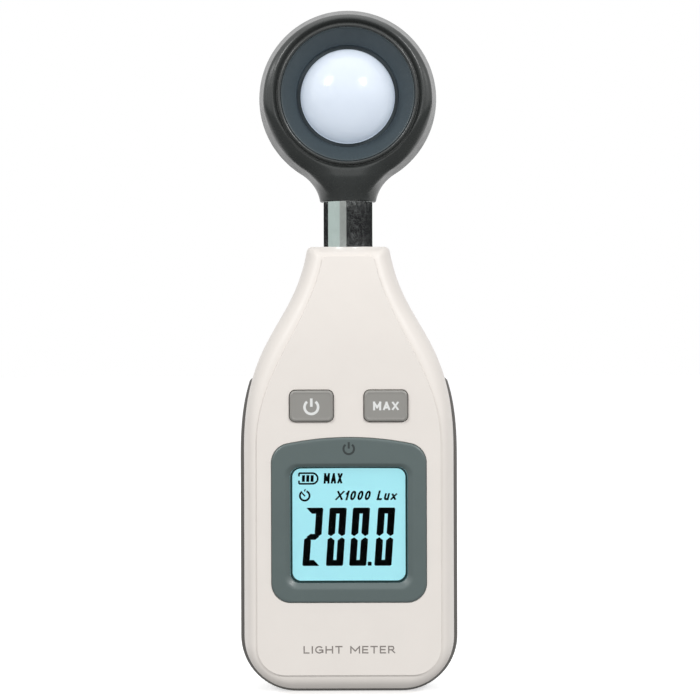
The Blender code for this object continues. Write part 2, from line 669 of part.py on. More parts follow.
def battery_door(looks):
    """The door, with two tongues at its top edge and a catch at its bottom edge."""
    moving = pivot("battery_door_hinge", DOOR_HINGE)
    middle = (DOOR_BOTTOM + DOOR_TOP) / 2
    height = DOOR_TOP - DOOR_BOTTOM
    full = rounded_rect(0, middle, 2 * DOOR_HALF_WIDTH, height, 2.0)
    crown = rounded_rect(0, middle, 2 * DOOR_HALF_WIDTH - 0.6, height - 0.6, 1.7)
    bm = bmesh.new()
    levels = ((full, DOOR_INSIDE), (full, BACK - 0.3), (crown, BACK))
    rings = skin(bm, [[(x, y, z) for x, z in outline] for outline, y in levels])
    bm.faces.new(rings[0])
    bm.faces.new(rings[-1])
    door = place("battery_door", bm, looks["rear"], DOOR_HINGE, moving)
    rooted = DOOR_INSIDE + 0.7
    parts = [("catch", (-4.0, 11.5, DOOR_BOTTOM + 0.4), (4.0, rooted, DOOR_BOTTOM + 1.8))]
    for side, name in ((-1, "left"), (1, "right")):
        center = side * CELL_PITCH / 2
        parts.append((f"tongue_{name}", (center - 1.8, 11.3, 59.7), (center + 1.8, rooted, 61.9)))
    for name, low, high in parts:
        bm = bmesh.new()
        block(bm, low, high)
        shape(door, tool(f"add_door_{name}", bm), "UNION")


def rating_plate(look):
    """A blank film in a shallow seat on the back, above the battery door."""
    front = BACK - PLATE_THICKNESS
    bm = bmesh.new()
    prism(bm, rounded_rect(0, PLATE_Z, PLATE_WIDTH, PLATE_HEIGHT, 1.0), front, BACK)
    place("rating_plate", bm, look, (0, front, PLATE_Z))


# ---------------------------------------------------------------- neck and sensor head


def stem_solid():
    """The flared stem below the head: an oval that widens along a concave arc."""
    center_x = STEM_R + FLARE_R
    center_z = HEAD_Z - math.sqrt((HEAD_R + FLARE_R) ** 2 - center_x ** 2)
    heights = [STEM_BOTTOM + (126.4 - STEM_BOTTOM) * i / 7 for i in range(8)]
    loops = []
    for z in heights:
        across = center_x - math.sqrt(FLARE_R ** 2 - (z - center_z) ** 2)
        rise = (z - STEM_BOTTOM) / (heights[-1] - STEM_BOTTOM)
        deep = STEM_R + 1.5 * rise * rise
        ring = [(across * math.cos(a), deep * math.sin(a), z) for a in
                (math.tau * i / 32 for i in range(32))]
        loops.append(ring)
    last = loops[-1]
    loops.append([(x * 0.9, y * 0.9, 131.0) for x, y, z in last])
    bm = bmesh.new()
    rings = skin(bm, loops)
    bm.faces.new(rings[0])
    bm.faces.new(rings[-1])
    return tool("add_stem", bm)


def head_profiles():
    """The head's outer surface and its hollow, as (radius, depth) points from front to back."""
    outside = [(0.0, -6.0), (MOUTH_R, -6.0), (MOUTH_R, -8.5), (16.8, -9.05), (17.3, -8.9), (18.6, -7.7),
               (20.3, -5.0), (21.3, -2.0), (HEAD_R, HEAD_PARTING), (21.45, 5.0), (20.6, 8.6),
               (18.8, 11.3), (16.6, 12.6), (14.5, 13.0), (0.0, 13.0)]
    hollow = [(0.0, -7.0), (15.2, -7.0), (15.2, -6.7), (16.9, -6.4), (19.0, -3.0), (19.5, 0.5),
              (19.5, 4.5), (18.2, 8.4), (14.5, 10.9), (0.0, 10.9)]
    return outside, hollow


def head_bores(name, target, bores, operation="DIFFERENCE"):
    """Cut or add cylinders along both head screws, each (from, to, radius, segments)."""
    for index, (start, end, radius, segments) in enumerate(bores):
        for side, label in ((-1, "left"), (1, "right")):
            x = side * HEAD_SCREW_X
            bm = bmesh.new()
            cylinder(bm, (x, start, HEAD_Z), (x, end, HEAD_Z), radius, segments)
            shape(target, tool(f"{name}_{index + 1}_{label}", bm), operation)


def front_bosses(shell):
    """Ribs that carry the head screws' tips, out to the shell's wall."""
    for side, label in ((-1, "left"), (1, "right")):
        inner, outer = sorted((side * (HEAD_SCREW_X - 2.2), side * 20.3))
        bm = bmesh.new()
        block(bm, (inner, -2.4, HEAD_Z - 2.2), (outer, HEAD_PARTING + 1, HEAD_Z + 2.2))
        shape(shell, tool(f"add_front_boss_{label}", bm), "UNION")


def head_shells(looks, swivel):
    center = (0, 0, HEAD_Z)
    outside, inside = head_profiles()
    bm = bmesh.new()
    turned(bm, inside, center, (0, 1, 0), 28)
    hollow = tool("cut_head_hollow", bm)
    stem = stem_solid()
    bm = bmesh.new()
    cylinder(bm, (0, 0, STEM_BOTTOM - 1), (0, 0, 127.0), SPIGOT_R + GAP, 24)
    socket = tool("cut_head_socket", bm)
    far = 30.0
    halves = (("head_front_shell", HEAD_PARTING - GAP / 2, far),
              ("head_rear_shell", -far, HEAD_PARTING + GAP / 2))
    shells = []
    for name, low, high in halves:
        bm = bmesh.new()
        turned(bm, outside, center, (0, 1, 0), 40)
        shell = place(name, bm, looks["head"], (0, HEAD_PARTING, HEAD_Z), swivel)
        shape(shell, stem, "UNION")
        shape(shell, hollow)
        if name == "head_front_shell":
            front_bosses(shell)
        else:
            boss = (HEAD_PARTING - 1, 11.2, 2.9, 16)
            head_bores("add_rear_boss", shell, (boss,), "UNION")
        shape(shell, socket)
        bm = bmesh.new()
        block(bm, (-far, low, 110), (far, high, 175))
        shape(shell, tool(f"cut_{name}", bm))
        shells.append(shell)
    front, rear = shells
    bm = bmesh.new()
    cylinder(bm, (0, -12.0, HEAD_Z), (0, -5.0, HEAD_Z), MOUTH_R, 40)
    shape(front, tool("cut_head_mouth", bm))
    head_bores("cut_head_pilot", front, ((-2.0, 5.0, 0.95, 8),))
    head_bores("cut_head_bore", rear, ((0.0, 9.0, 1.05, 8), (HEAD_SCREW_SEAT, 15.0, 2.1, 14)))
    for i, side in enumerate((-1, 1)):
        screw(f"head_screw_{i + 1}", (side * HEAD_SCREW_X, HEAD_Z), HEAD_SCREW_SEAT + GAP, looks["steel"],
              9.6, swivel, 1.7)


def sensor(looks, swivel):
    """Everything behind the head's lip, front to back, all turned about the head's axis."""
    center = (0, 0, HEAD_Z)
    dish = [(15.85, -8.3), (11.85, -4.3), (11.85, -3.0), (13.0, -3.0), (15.6, -5.6), (15.85, -5.6)]
    bowl = [(11.5 * math.cos(a), -4.0 - 9.0 * math.sin(a)) for a in
            (math.radians(15 * i) for i in range(6))]
    hollow = [(10.2 * math.cos(a), -3.6 - 8.0 * math.sin(a)) for a in
              (math.radians(25 * i) for i in range(4))]
    dome = [(0.0, -13.0)] + bowl[::-1] + [(11.5, -2.7), (12.7, -2.7), (12.7, -1.7), (10.2, -1.7)]
    dome += hollow + [(0.0, -11.6)]
    spacer = [(12.4, -1.4), (12.4, 2.9), (9.4, 2.9), (9.4, -1.4)]
    rings = (("sensor_dish", "dish", dish, True, 40), ("sensor_spacer", "holder", spacer, True, 24),
             ("diffuser_dome", "diffuser", dome, False, 32))
    for name, look, profile, ring, segments in rings:
        bm = bmesh.new()
        turned(bm, profile, center, (0, 1, 0), segments, ring)
        place(name, bm, looks[look], (0, profile[0][1], HEAD_Z), swivel)
    discs = (("optical_filter", "filter", 9.0, -1.2, 0.2), ("sensor_board", "board", 12.4, 3.2, 4.8))
    for name, look, radius, front, back in discs:
        bm = bmesh.new()
        cylinder(bm, (0, front, HEAD_Z), (0, back, HEAD_Z), radius, 28)
        place(name, bm, looks[look], (0, front, HEAD_Z), swivel)
    bm = bmesh.new()
    block(bm, (-3.5, 0.5, HEAD_Z - 3.5), (3.5, 2.9, HEAD_Z + 3.5))
    place("photodiode", bm, looks["chip"], (0, 0.5, HEAD_Z), swivel)


def neck(looks, swivel):
    upright = (0, 0, 1)
    tube = [(TUBE_R, TUBE_BOTTOM), (TUBE_R, STEM_BOTTOM - GAP), (SPIGOT_R, STEM_BOTTOM - GAP),
            (SPIGOT_R, SPIGOT_TOP), (TUBE_BORE_R, SPIGOT_TOP), (TUBE_BORE_R, TUBE_BOTTOM)]
    bm = bmesh.new()
    turned(bm, tube, (0, 0, 0), upright, 28, True)
    place("neck_tube", bm, looks["chrome"], (0, 0, CASE_TOP), swivel)
    low, high = SHELF_TOP + GAP, SHELF_TOP + 2.7
    collar = [(TUBE_R + GAP, low), (COLLAR_R, low), (COLLAR_R, high), (TUBE_R + GAP, high)]
    bm = bmesh.new()
    turned(bm, collar, (0, 0, 0), upright, 24, True)
    made = place("swivel_collar", bm, looks["steel"], (0, 0, low), swivel)
    bm = bmesh.new()
    block(bm, (COLLAR_R - 0.4, -LUG_HALF_WIDTH, low), (LUG_REACH, LUG_HALF_WIDTH, high))
    shape(made, tool("add_stop_lug", bm), "UNION")
    washer = [(TUBE_R + GAP, high + GAP), (COLLAR_R, high + GAP), (COLLAR_R, CHAMBER_TOP - GAP),
              (TUBE_R + GAP, CHAMBER_TOP - GAP)]
    bm = bmesh.new()
    turned(bm, washer, (0, 0, 0), upright, 24, True)
    place("friction_washer", bm, looks["elastomer"], (0, 0, high + GAP), swivel)
    wire("sensor_lead_upper", ((0, 0, 93.0), (0, 0, 105.0), (0, 0, 118.0), (0, 0.2, 123.0), (0, 2.0, 127.0),
                               (0, 5.6, 129.6), (0, 7.8, 133.0), (0, 7.8, 136.5), (0, 6.6, 140.0)),
         1.0, looks["lead_black"], swivel)
    wire("sensor_lead_lower", ((0, 0, 92.7), (0, 0.1, 89.0), (0, -0.6, 84.0), (0, -2.4, 80.0),
                               (0, -2.8, 76.3)), 1.0, looks["lead_black"])


def build():
    clear_scene()
    looks = {
        "front": material("ivory_plastic", (0.80, 0.77, 0.74), 0.45),
        "rear": material("grey_plastic", (0.13, 0.13, 0.13), 0.55),
        "bezel": material("bezel_plastic", (0.12, 0.145, 0.145), 0.4),
        "button": material("button_plastic", (0.29, 0.29, 0.28), 0.45),
        "window": material("clear_window", (0.9, 0.95, 0.95), 0.05),
        "lcd": material("lcd_glass", (0.38, 0.85, 0.9), 0.2),
        "backlight": material("backlight_plastic", (0.6, 0.9, 0.95), 0.3),
        "elastomer": material("elastomer", (0.05, 0.05, 0.05), 0.8),
        "holder": material("holder_plastic", (0.75, 0.75, 0.72), 0.6),
        "board": material("circuit_board", (0.03, 0.22, 0.08), 0.45),
        "chip": material("chip_plastic", (0.02, 0.02, 0.02), 0.5),
        "steel": material("plated_steel", (0.6, 0.6, 0.6), 0.3, 1.0),
        "chrome": material("chrome", (0.8, 0.8, 0.82), 0.08, 1.0),
        "cell": material("cell_sleeve", (0.08, 0.25, 0.1), 0.35),
        "lead_red": material("red_insulation", (0.6, 0.03, 0.02), 0.5),
        "lead_black": material("black_insulation", (0.02, 0.02, 0.02), 0.5),
        "plate": material("label_film", (0.6, 0.6, 0.6), 0.4),
        "head": material("head_plastic", (0.025, 0.027, 0.027), 0.3),
        "dish": material("dish_plastic", (0.04, 0.055, 0.06), 0.45),
        "diffuser": material("opal_plastic", (0.8, 0.86, 0.9), 0.35),
        "filter": material("filter_glass", (0.1, 0.3, 0.2), 0.1),
    }
    neck_tools = neck_cutters()
    front_cover(looks["front"], neck_tools)
    rear_cover(looks["rear"], neck_tools)
    for i, place_at in enumerate(CASE_SCREWS):
        screw(f"case_screw_{i + 1}", place_at, CASE_SCREW_SEAT + GAP, looks["steel"], 11.4)
    display(looks)
    electronics(looks)
    button("power", -1, looks)
    button("max", 1, looks)
    for index in range(3):
        battery(index, looks)
    contacts(looks)
    battery_door(looks)
    rating_plate(looks["plate"])
    swivel = pivot("head_swivel", (0, 0, CASE_TOP))
    neck(looks, swivel)
    head_shells(looks, swivel)
    sensor(looks, swivel)


build()
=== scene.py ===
import json
import math
from itertools import product

import bmesh
import bpy
import numpy as np
from mathutils import Matrix, Vector

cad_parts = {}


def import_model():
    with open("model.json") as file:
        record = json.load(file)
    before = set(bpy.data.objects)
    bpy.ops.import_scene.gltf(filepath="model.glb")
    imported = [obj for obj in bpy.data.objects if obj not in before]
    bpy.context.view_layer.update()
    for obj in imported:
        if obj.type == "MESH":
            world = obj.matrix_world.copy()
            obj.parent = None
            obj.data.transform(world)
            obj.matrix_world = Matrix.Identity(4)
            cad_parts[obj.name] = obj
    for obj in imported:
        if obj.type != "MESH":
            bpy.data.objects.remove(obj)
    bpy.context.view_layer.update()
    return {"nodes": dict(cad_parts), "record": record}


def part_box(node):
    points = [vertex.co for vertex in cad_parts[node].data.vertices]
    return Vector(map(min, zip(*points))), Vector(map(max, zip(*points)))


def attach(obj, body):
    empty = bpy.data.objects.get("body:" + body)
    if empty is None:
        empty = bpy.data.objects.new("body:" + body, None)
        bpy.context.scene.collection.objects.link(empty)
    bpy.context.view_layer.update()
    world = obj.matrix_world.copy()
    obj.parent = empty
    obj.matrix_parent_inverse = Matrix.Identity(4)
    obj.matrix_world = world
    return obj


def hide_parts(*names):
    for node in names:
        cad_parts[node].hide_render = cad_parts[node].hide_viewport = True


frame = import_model()

# Shapes are worked out in millimetres. +X is the reader's right, -Y the front and +Z up.
MM = 0.001
ALONG_Y = (0, 1, 0)


def box_mm(node):
    """A CAD node's lowest and highest corners, in millimetres."""
    return tuple(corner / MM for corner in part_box(node))


FRONT_LOW, FRONT_HIGH = box_mm("front_cover")
REAR_LOW, REAR_HIGH = box_mm("rear_cover")
BEZEL_LOW, BEZEL_HIGH = box_mm("lcd_bezel")
HEAD_LOW, HEAD_HIGH = box_mm("head_front_shell")
DOOR_LOW, DOOR_HIGH = box_mm("battery_door")
TUBE_LOW, TUBE_HIGH = box_mm("neck_tube")

# Case outlines, seen from the front: each side is a rising Bezier curve
GAP = 0.3
CASE_BOTTOM = FRONT_LOW.z
CASE_TOP = FRONT_HIGH.z
CASE_HALF = FRONT_HIGH.x
CASE_CORNER = 12.7
FACE = FRONT_LOW.y
FACE_HALF = 21.9
FACE_BOTTOM = 5.3
FACE_TOP = 105.1
FACE_CORNER = 6.7
BACK = REAR_HIGH.y
BACK_CORNER = 9.0
RIM_HALF = REAR_HIGH.x
RIM_CORNER = 13.6
RIM_TIP = 76.0
WALL = 2.0
REAR_WALL = 2.05
PARTING = (FRONT_HIGH.y + REAR_LOW.y) / 2
THINNING_START = 82.0
NECK_THINNING = 0.2
SHELF_BOTTOM = 97.4
SHELF_TOP = 99.2
CHAMBER_TOP = 104.2
CHAMBER_R = 9.2

CASE_SIDE = ((CASE_HALF, 59.0), (CASE_HALF, 87.0), (12.9, 87.9), (9.9, CASE_TOP))
FACE_SIDE = ((FACE_HALF, 60.0), (FACE_HALF, 78.0), (9.2, 88.0), (6.0, FACE_TOP))
BACK_SIDE = ((21.5, 58.0), (21.5, 80.0), (10.5, 88.0), (7.4, FACE_TOP))
RIM_SIDE = ((RIM_HALF, 57.0), (RIM_HALF, 66.0), (25.4, 71.0), (24.0, RIM_TIP - 0.6))

# Sensor head
HEAD_R = HEAD_HIGH.x
HEAD_Z = HEAD_HIGH.z - HEAD_R
HEAD_PARTING = 2.0
STEM_BOTTOM = HEAD_LOW.z
STEM_R = 6.7
FLARE_R = 10.0
MOUTH_R = 16.15
SCREW_X = 15.4
HEAD_SEAT = 8.0
FRONT_PLANE = -8.45
BACK_PLANE = 13.0
SIDE_ROUND = 6.75
BACK_ROUND = 7.4
FOOT_ROUND = 0.5
RIDGE_R = 18.2
GROOVE_R = 17.15
HEAD_CELL = 0.36

# Display, buttons and battery bay
WINDOW_HALF = 13.7
WINDOW_BOTTOM = 27.55
WINDOW_TOP = 54.7
WINDOW_MIDDLE = 41.15
BEZEL_SHOULDER = 55.9
BUTTON_X = 8.86
BUTTON_WIDTH = 10.3
BUTTON_HEIGHT = 7.4
BUTTON_CORNER = 1.3
BUTTON_Z = 69.4
CELL_PITCH = 10.9
CELL_Y = 7.3
BAY_HALF = 17.2
BAY_BOTTOM = 8.6
BAY_TOP = 60.2
BAY_FLOOR = 1.8
DOOR_PLATE = 12.9
DOOR_CORNER = 2.0
CASE_SEAT = 1.5
CASE_SCREWS = ((-20.6, 13.7), (20.6, 13.7), (-12.5, 83.5), (12.5, 83.5))

# What the display shows: the words have their low and high X, low and high Z, weight and slant
SEGMENTS = {"2": "abged", "0": "abcdef"}
DIGIT_WIDTH = 4.1
DIGIT_HEIGHT = 13.9
DIGIT_BOTTOM = 31.13
DIGIT_LEFTS = (-11.18, -5.56, 0.0, 6.02)
BAR_UPRIGHT = 1.68
BAR_LEVEL = 1.42
SEGMENT_GAP = 0.03
MIDDLE_GAP = 0.14
SLANT = math.tan(math.radians(4.0))
DISPLAY_WORDS = (("MAX", -6.04, -1.46, 50.8, 53.3, 0.5, 0.06),
                 ("X1000", -3.3, 5.47, 46.8, 49.1, 0.48, 0.26),
                 ("Lux", 6.57, 11.77, 46.8, 49.1, 0.48, 0.26))
LETTER_SPACE = 0.2

# Steps of the case outlines' corners and of their rounded tips
CORNER_STEPS = 18
TIP_STEPS = 6

# Studio: the screens, which only reflections see, have their turns, heights, colour and glow
SCREEN_R = 620.0
SCREEN_LOW = -160.0
DARK = (0.006, 0.006, 0.007)
SCREENS = (
    ("front_screen", -100.0, 100.0, SCREEN_LOW, 75.0, DARK, 0.0),
    ("neck_dark_right", -8.0, 150.0, 130.0, 169.0, DARK, 0.0),
    ("neck_dark_left", 205.0, 255.0, 130.0, 169.0, DARK, 0.0),
    ("neck_grey", -39.0, -8.0, 130.0, 169.0, (0.19, 0.194, 0.187), 1.0),
    ("neck_pale", -105.0, -39.0, 130.0, 169.0, (0.262, 0.3, 0.286), 1.0),
)
AMBIENT = 0.58
CAMERA_PLACE = (0.00037, -0.520, 0.0827)
CAMERA_ROLL = 0.17


# Materials


class Look:
    """A Principled material whose detail comes from a few noise layers in object space."""

    def __init__(self, name, color, roughness, **uniform):
        self.material = bpy.data.materials.new(name)
        self.material.use_nodes = True
        self.nodes = self.material.node_tree.nodes
        self.links = self.material.node_tree.links
        self.shader = self.nodes["Principled BSDF"]
        self.color = color
        self.roughness = roughness
        for socket, value in uniform.items():
            self.shader.inputs[socket.replace("_", " ").title().replace("Ior", "IOR")].default_value = value
        self.place = self.nodes.new("ShaderNodeTexCoord").outputs["Object"]

    def put(self, socket, value):
        """Link a socket or set a plain value."""
        if isinstance(value, bpy.types.NodeSocket):
            self.links.new(value, socket)
        else:
            socket.default_value = value

    def step(self, kind, output, **inputs):
        """A new node's output, with its inputs linked or set. Their spaces are written as underscores."""
        made = self.nodes.new(f"ShaderNode{kind}")
        for name, value in inputs.items():
            self.put(made.inputs[name.replace("_", " ")], value)
        return made.outputs[output]

    def noise(self, size_mm, detail=3.0, vector=None):
        scale = 1.0 / (size_mm * MM)
        return self.step("TexNoise", "Fac", Vector=vector or self.place, Scale=scale, Detail=detail)

    def ramp(self, value, low, high):
        return self.step("MapRange", "Result", Value=value, From_Min=0.3, From_Max=0.7,
                         To_Min=low, To_Max=high)

    def mix(self, value, first, second):
        made = self.nodes.new("ShaderNodeMix")
        made.data_type = "RGBA"
        self.put(made.inputs["Factor"], value)
        self.put(made.inputs["A"], (*first, 1.0))
        self.put(made.inputs["B"], (*second, 1.0))
        return made.outputs["Result"]

    def colored(self, size_mm, spread):
        """The colour drifts a little lighter and darker over the surface."""
        darker = [c * (1 - spread) for c in self.color]
        lighter = [min(c * (1 + spread), 1.0) for c in self.color]
        mixed = self.mix(self.ramp(self.noise(size_mm), 0.0, 1.0), darker, lighter)
        self.put(self.shader.inputs["Base Color"], mixed)

    def roughened(self, size_mm, spread):
        found = self.ramp(self.noise(size_mm), self.roughness - spread, self.roughness + spread)
        self.put(self.shader.inputs["Roughness"], found)

    def bumped(self, size_mm, height_mm, detail=2.0, vector=None):
        """Bumps of one size, on top of those that are there already."""
        normal = self.shader.inputs["Normal"]
        under = {"Normal": normal.links[0].from_socket} if normal.is_linked else {}
        height = self.noise(size_mm, detail, vector)
        self.put(normal, self.step("Bump", "Normal", Distance=height_mm * MM, Height=height, **under))


def moulded(name, color, roughness, grain=0.45, height=0.003, spread=0.02, **uniform):
    """Injection-moulded plastic: fine spark-eroded grain over a slow drift in colour and gloss."""
    look = Look(name, color, roughness, **uniform)
    look.colored(9.0, spread)
    look.roughened(1.7, 0.04)
    look.bumped(6.0, 0.01, 1.0)
    look.bumped(grain, height)
    return look.material


def metal(name, color, roughness, along=(1, 1, 1), height=0.0015, **uniform):
    """Plated or brushed metal, with fine marks that run along one direction."""
    look = Look(name, color, roughness, metallic=1.0, **uniform)
    look.colored(4.0, 0.04)
    look.roughened(0.8, roughness * 0.3)
    look.bumped(0.35, height, 3.0, look.step("Mapping", "Vector", Vector=look.place, Scale=along))
    return look.material


def circuit_board(name):
    """Green solder mask with paler copper tracks showing through."""
    look = Look(name, (0.01, 0.13, 0.045), 0.38)
    facing = look.step("Mapping", "Vector", Vector=look.place, Rotation=(math.pi / 2, 0, 0))
    tracks = look.step("TexBrick", "Color", Vector=facing, Scale=260.0, Mortar_Size=0.06,
                       Color1=(*look.color, 1.0), Color2=(0.008, 0.1, 0.035, 1.0),
                       Mortar=(0.05, 0.28, 0.1, 1.0))
    look.put(look.shader.inputs["Base Color"], tracks)
    look.roughened(1.0, 0.05)
    look.bumped(0.5, 0.005)
    return look.material


def lit_display(name):
    """The lit face of the display: even pale cyan with a very faint unevenness of its light guide."""
    look = Look(name, (0.08, 0.2, 0.21), 0.4, emission_strength=1.0)
    light = look.mix(look.ramp(look.noise(14.0, 1.0), 0.0, 1.0), (0.385, 0.765, 0.84), (0.405, 0.79, 0.865))
    look.put(look.shader.inputs["Emission Color"], light)
    look.colored(14.0, 0.02)
    look.roughened(0.3, 0.03)
    look.bumped(0.2, 0.001)
    return look.material


def cell_sleeve(name):
    """A glossy green shrink sleeve without a mark."""
    look = Look(name, (0.03, 0.16, 0.07), 0.3, coat_weight=0.4)
    look.colored(5.0, 0.08)
    look.roughened(1.2, 0.05)
    look.bumped(2.5, 0.02)
    return look.material


def opal(name):
    """Translucent white plastic with a painted glow: a faint emission that brightens it and evens out its
    shading.
    """
    look = Look(name, (0.56, 0.60, 0.66), 0.16, subsurface_weight=1.0, subsurface_scale=0.006,
                emission_strength=1.0, subsurface_radius=(1.0, 1.0, 1.0),
                emission_color=(0.235, 0.27, 0.32, 1.0))
    look.colored(6.0, 0.012)
    look.roughened(1.5, 0.03)
    look.bumped(0.5, 0.0015)
    return look.material


def clear(name, color, roughness=0.02):
    look = Look(name, color, roughness, transmission_weight=1.0, ior=1.49)
    look.colored(8.0, 0.01)
    look.roughened(3.0, 0.01)
    look.bumped(12.0, 0.004, 1.0)
    return look.material


LOOKS = {
    "front_plastic": moulded("ivory_plastic", (0.80, 0.755, 0.71), 0.42, 0.4, 0.002, 0.012),
    "rear_plastic": moulded("grey_plastic", (0.155, 0.15, 0.143), 0.44, 0.35, 0.012),
    "bezel_plastic": moulded("bezel_plastic", (0.112, 0.145, 0.143), 0.34, 0.5, 0.0012),
    "button_plastic": moulded("button_plastic", (0.285, 0.278, 0.26), 0.42, 0.4, 0.002),
    "window": clear("clear_window", (0.96, 0.99, 1.0)),
    "lcd": lit_display("lcd_face"),
    "backlight": moulded("light_guide", (0.7, 0.9, 0.95), 0.3),
    "elastomer": moulded("elastomer", (0.02, 0.02, 0.02), 0.8, 0.4, 0.01),
    "holder_plastic": moulded("natural_plastic", (0.75, 0.74, 0.7), 0.5),
    "board": circuit_board("solder_mask"),
    "chip_plastic": moulded("mould_compound", (0.015, 0.015, 0.017), 0.55, 0.2, 0.01),
    "plated_steel": metal("plated_steel", (0.66, 0.65, 0.62), 0.28, (1, 8, 1)),
    "chrome": metal("chrome", (0.86, 0.9, 0.89), 0.06, (1, 1, 14), 0.0004),
    "cell_sleeve": cell_sleeve("cell_sleeve"),
    "red_insulation": moulded("red_insulation", (0.5, 0.02, 0.015), 0.4),
    "black_insulation": moulded("black_insulation", (0.015, 0.015, 0.015), 0.45),
    "label_film": moulded("label_film", (0.42, 0.42, 0.41), 0.35, 0.3, 0.002),
    "head_plastic": moulded("head_plastic", (0.040, 0.0437, 0.0427), 0.28, 0.25, 0.0006, 0.04),
    "dish_plastic": moulded("dish_plastic", (0.036, 0.052, 0.059), 0.42, 0.5, 0.001, 0.05),
    "opal_plastic": opal("opal_plastic"),
    "filter_glass": clear("filter_glass", (0.35, 0.75, 0.5), 0.05),
}
BLACK_PRINT = moulded("lcd_black", (0.003, 0.004, 0.004), 0.9, 0.4, 0.001, specular_ior_level=0.05)
WHITE_PRINT = moulded("white_print", (0.74, 0.75, 0.74), 0.5, 0.2, 0.002)
GREY_PRINT = moulded("grey_print", (0.235, 0.21, 0.195), 0.55, 0.2, 0.002)
# Dark teal for the band round the display window: painted shadow of the bezel's inner edge.
PAINTED_SHADOW_EDGE = moulded("painted_shadow_edge", (0.012, 0.035, 0.036), 0.6, specular_ior_level=0.2)
DARK_PRINT = moulded("dark_print", (0.035, 0.045, 0.045), 0.5, 0.2, 0.002)


# Outlines


def arc(center, radius, start, end, steps):
    """Points on an arc, angles in degrees, both ends included."""
    angles = [math.radians(start + (end - start) * i / steps) for i in range(steps + 1)]
    return [(center[0] + radius * math.cos(a), center[1] + radius * math.sin(a)) for a in angles]


def bezier(points, t):
    a, b, c, d = (Vector(p) for p in points)
    s = 1.0 - t
    return a * s ** 3 + b * 3 * s * s * t + c * 3 * s * t * t + d * t ** 3


def curve_x(points, z):
    """The x of a rising Bezier curve at height z."""
    low, high = 0.0, 1.0
    for _ in range(36):
        middle = (low + high) / 2
        if bezier(points, middle).y < z:
            low = middle
        else:
            high = middle
    return bezier(points, low).x


def softened(points, reaches, steps=5):
    """An open line whose inner corners are rounded, each over its own reach."""
    made = [Vector(points[0])]
    for before, corner, after, reach in zip(points, points[1:], points[2:], reaches):
        before, corner, after = Vector(before), Vector(corner), Vector(after)
        back, on = before - corner, after - corner
        start = corner + back.normalized() * min(reach, back.length * 0.49)
        end = corner + on.normalized() * min(reach, on.length * 0.49)
        for i in range(steps + 1):
            t = i / steps
            made.append(start * (1 - t) ** 2 + corner * 2 * t * (1 - t) + end * t * t)
    made.append(Vector(points[-1]))
    return [tuple(p) for p in made]


def mirrored(half):
    """A whole outline from its right half, which runs from the bottom up."""
    return list(half) + [(-x, z) for x, z in reversed(half)]


def rounded_rect(center_x, center_z, width, height, radius, steps=8):
    x, z = width / 2 - radius, height / 2 - radius
    outline = []
    for sign_x, sign_z, start in ((1, -1, -90), (1, 1, 0), (-1, 1, 90), (-1, -1, 180)):
        corner = (center_x + sign_x * x, center_z + sign_z * z)
        outline += arc(corner, radius, start, start + 90, steps)
    return outline


def side_points(curve, low, high, inset=0.0, count=64):
    """Evenly spaced heights on a side curve, moved inwards along its normal."""
    found = []
    for i in range(count):
        z = low + (high - low) * i / (count - 1)
        slope = (curve_x(curve, z + 0.2) - curve_x(curve, z - 0.2)) / 0.4
        length = math.hypot(1.0, slope)
        found.append((curve_x(curve, z) - inset / length, z + inset * slope / length))
    return found


def half_outline(bottom, corner, side, top, top_corner):
    """Right half of a case outline: bottom corner, side, and the quarter round at the top."""
    width = side[0][0]
    half = arc((width - corner, bottom + corner), corner, -90, 0, CORNER_STEPS)[:-1] + side
    end_x, end_z = side[-1]
    for i in range(1, TIP_STEPS + 1):
        turn = math.pi / 2 * i / TIP_STEPS
        half.append((end_x - top_corner * (1 - math.cos(turn)), end_z + (top - end_z) * math.sin(turn)))
    return half


def blend(first, second, weight):
    return [(a + (c - a) * weight, b + (d - b) * weight) for (a, b), (c, d) in zip(first, second)]


def edge_round(reach, height):
    """How far a quarter round has come in and what is left of its height, every 15 degrees."""
    turns = [math.radians(turn) for turn in range(15, 91, 15)]
    return [(reach * (1 - math.cos(a)), height * (1 - math.sin(a))) for a in turns]


def grown_rect(center_x, center_z, width, height, radius, profile):
    """Levels of a rounded rectangle that changes with depth, from (growth, depth) points."""
    return [(rounded_rect(center_x, center_z, width + 2 * grow, height + 2 * grow,
                          max(radius + grow, 0.35)), y) for grow, y in profile]


def plate_levels(low, high, radius, profile):
    """Levels of a rounded rectangle that fills a centred box, from (growth, depth) points."""
    return grown_rect(0, (low.z + high.z) / 2, 2 * high.x, high.z - low.z, radius, profile)


def case_half(inset=0.0, top=CASE_TOP, top_corner=1.5):
    side = side_points(CASE_SIDE, CASE_BOTTOM + CASE_CORNER, top - top_corner, inset)
    side[0] = (CASE_HALF - inset, side[0][1])
    return half_outline(CASE_BOTTOM + inset, CASE_CORNER - inset, side, top, top_corner)


def face_half(inset=0.0, top=FACE_TOP, top_corner=1.2):
    side = side_points(FACE_SIDE, FACE_BOTTOM + FACE_CORNER, top - top_corner, inset)
    return half_outline(FACE_BOTTOM + inset, FACE_CORNER - inset, side, top, top_corner)


def rim_half():
    """Rear outline: wider than the front up to the rim's tip, and just inside it above."""
    heights = [RIM_CORNER + (RIM_TIP - 0.7 - RIM_CORNER) * i / 40 for i in range(41)]
    side = [(curve_x(RIM_SIDE, z), z) for z in heights]
    side += softened([side.pop(), (23.6, RIM_TIP - 0.1), (22.7, RIM_TIP + 0.25)], (0.5,), 4)
    side += side_points(CASE_SIDE, RIM_TIP + 1.2, CASE_TOP - 1.7, 0.25, 32)
    return half_outline(0.0, RIM_CORNER, side, CASE_TOP - 0.2, 1.5)


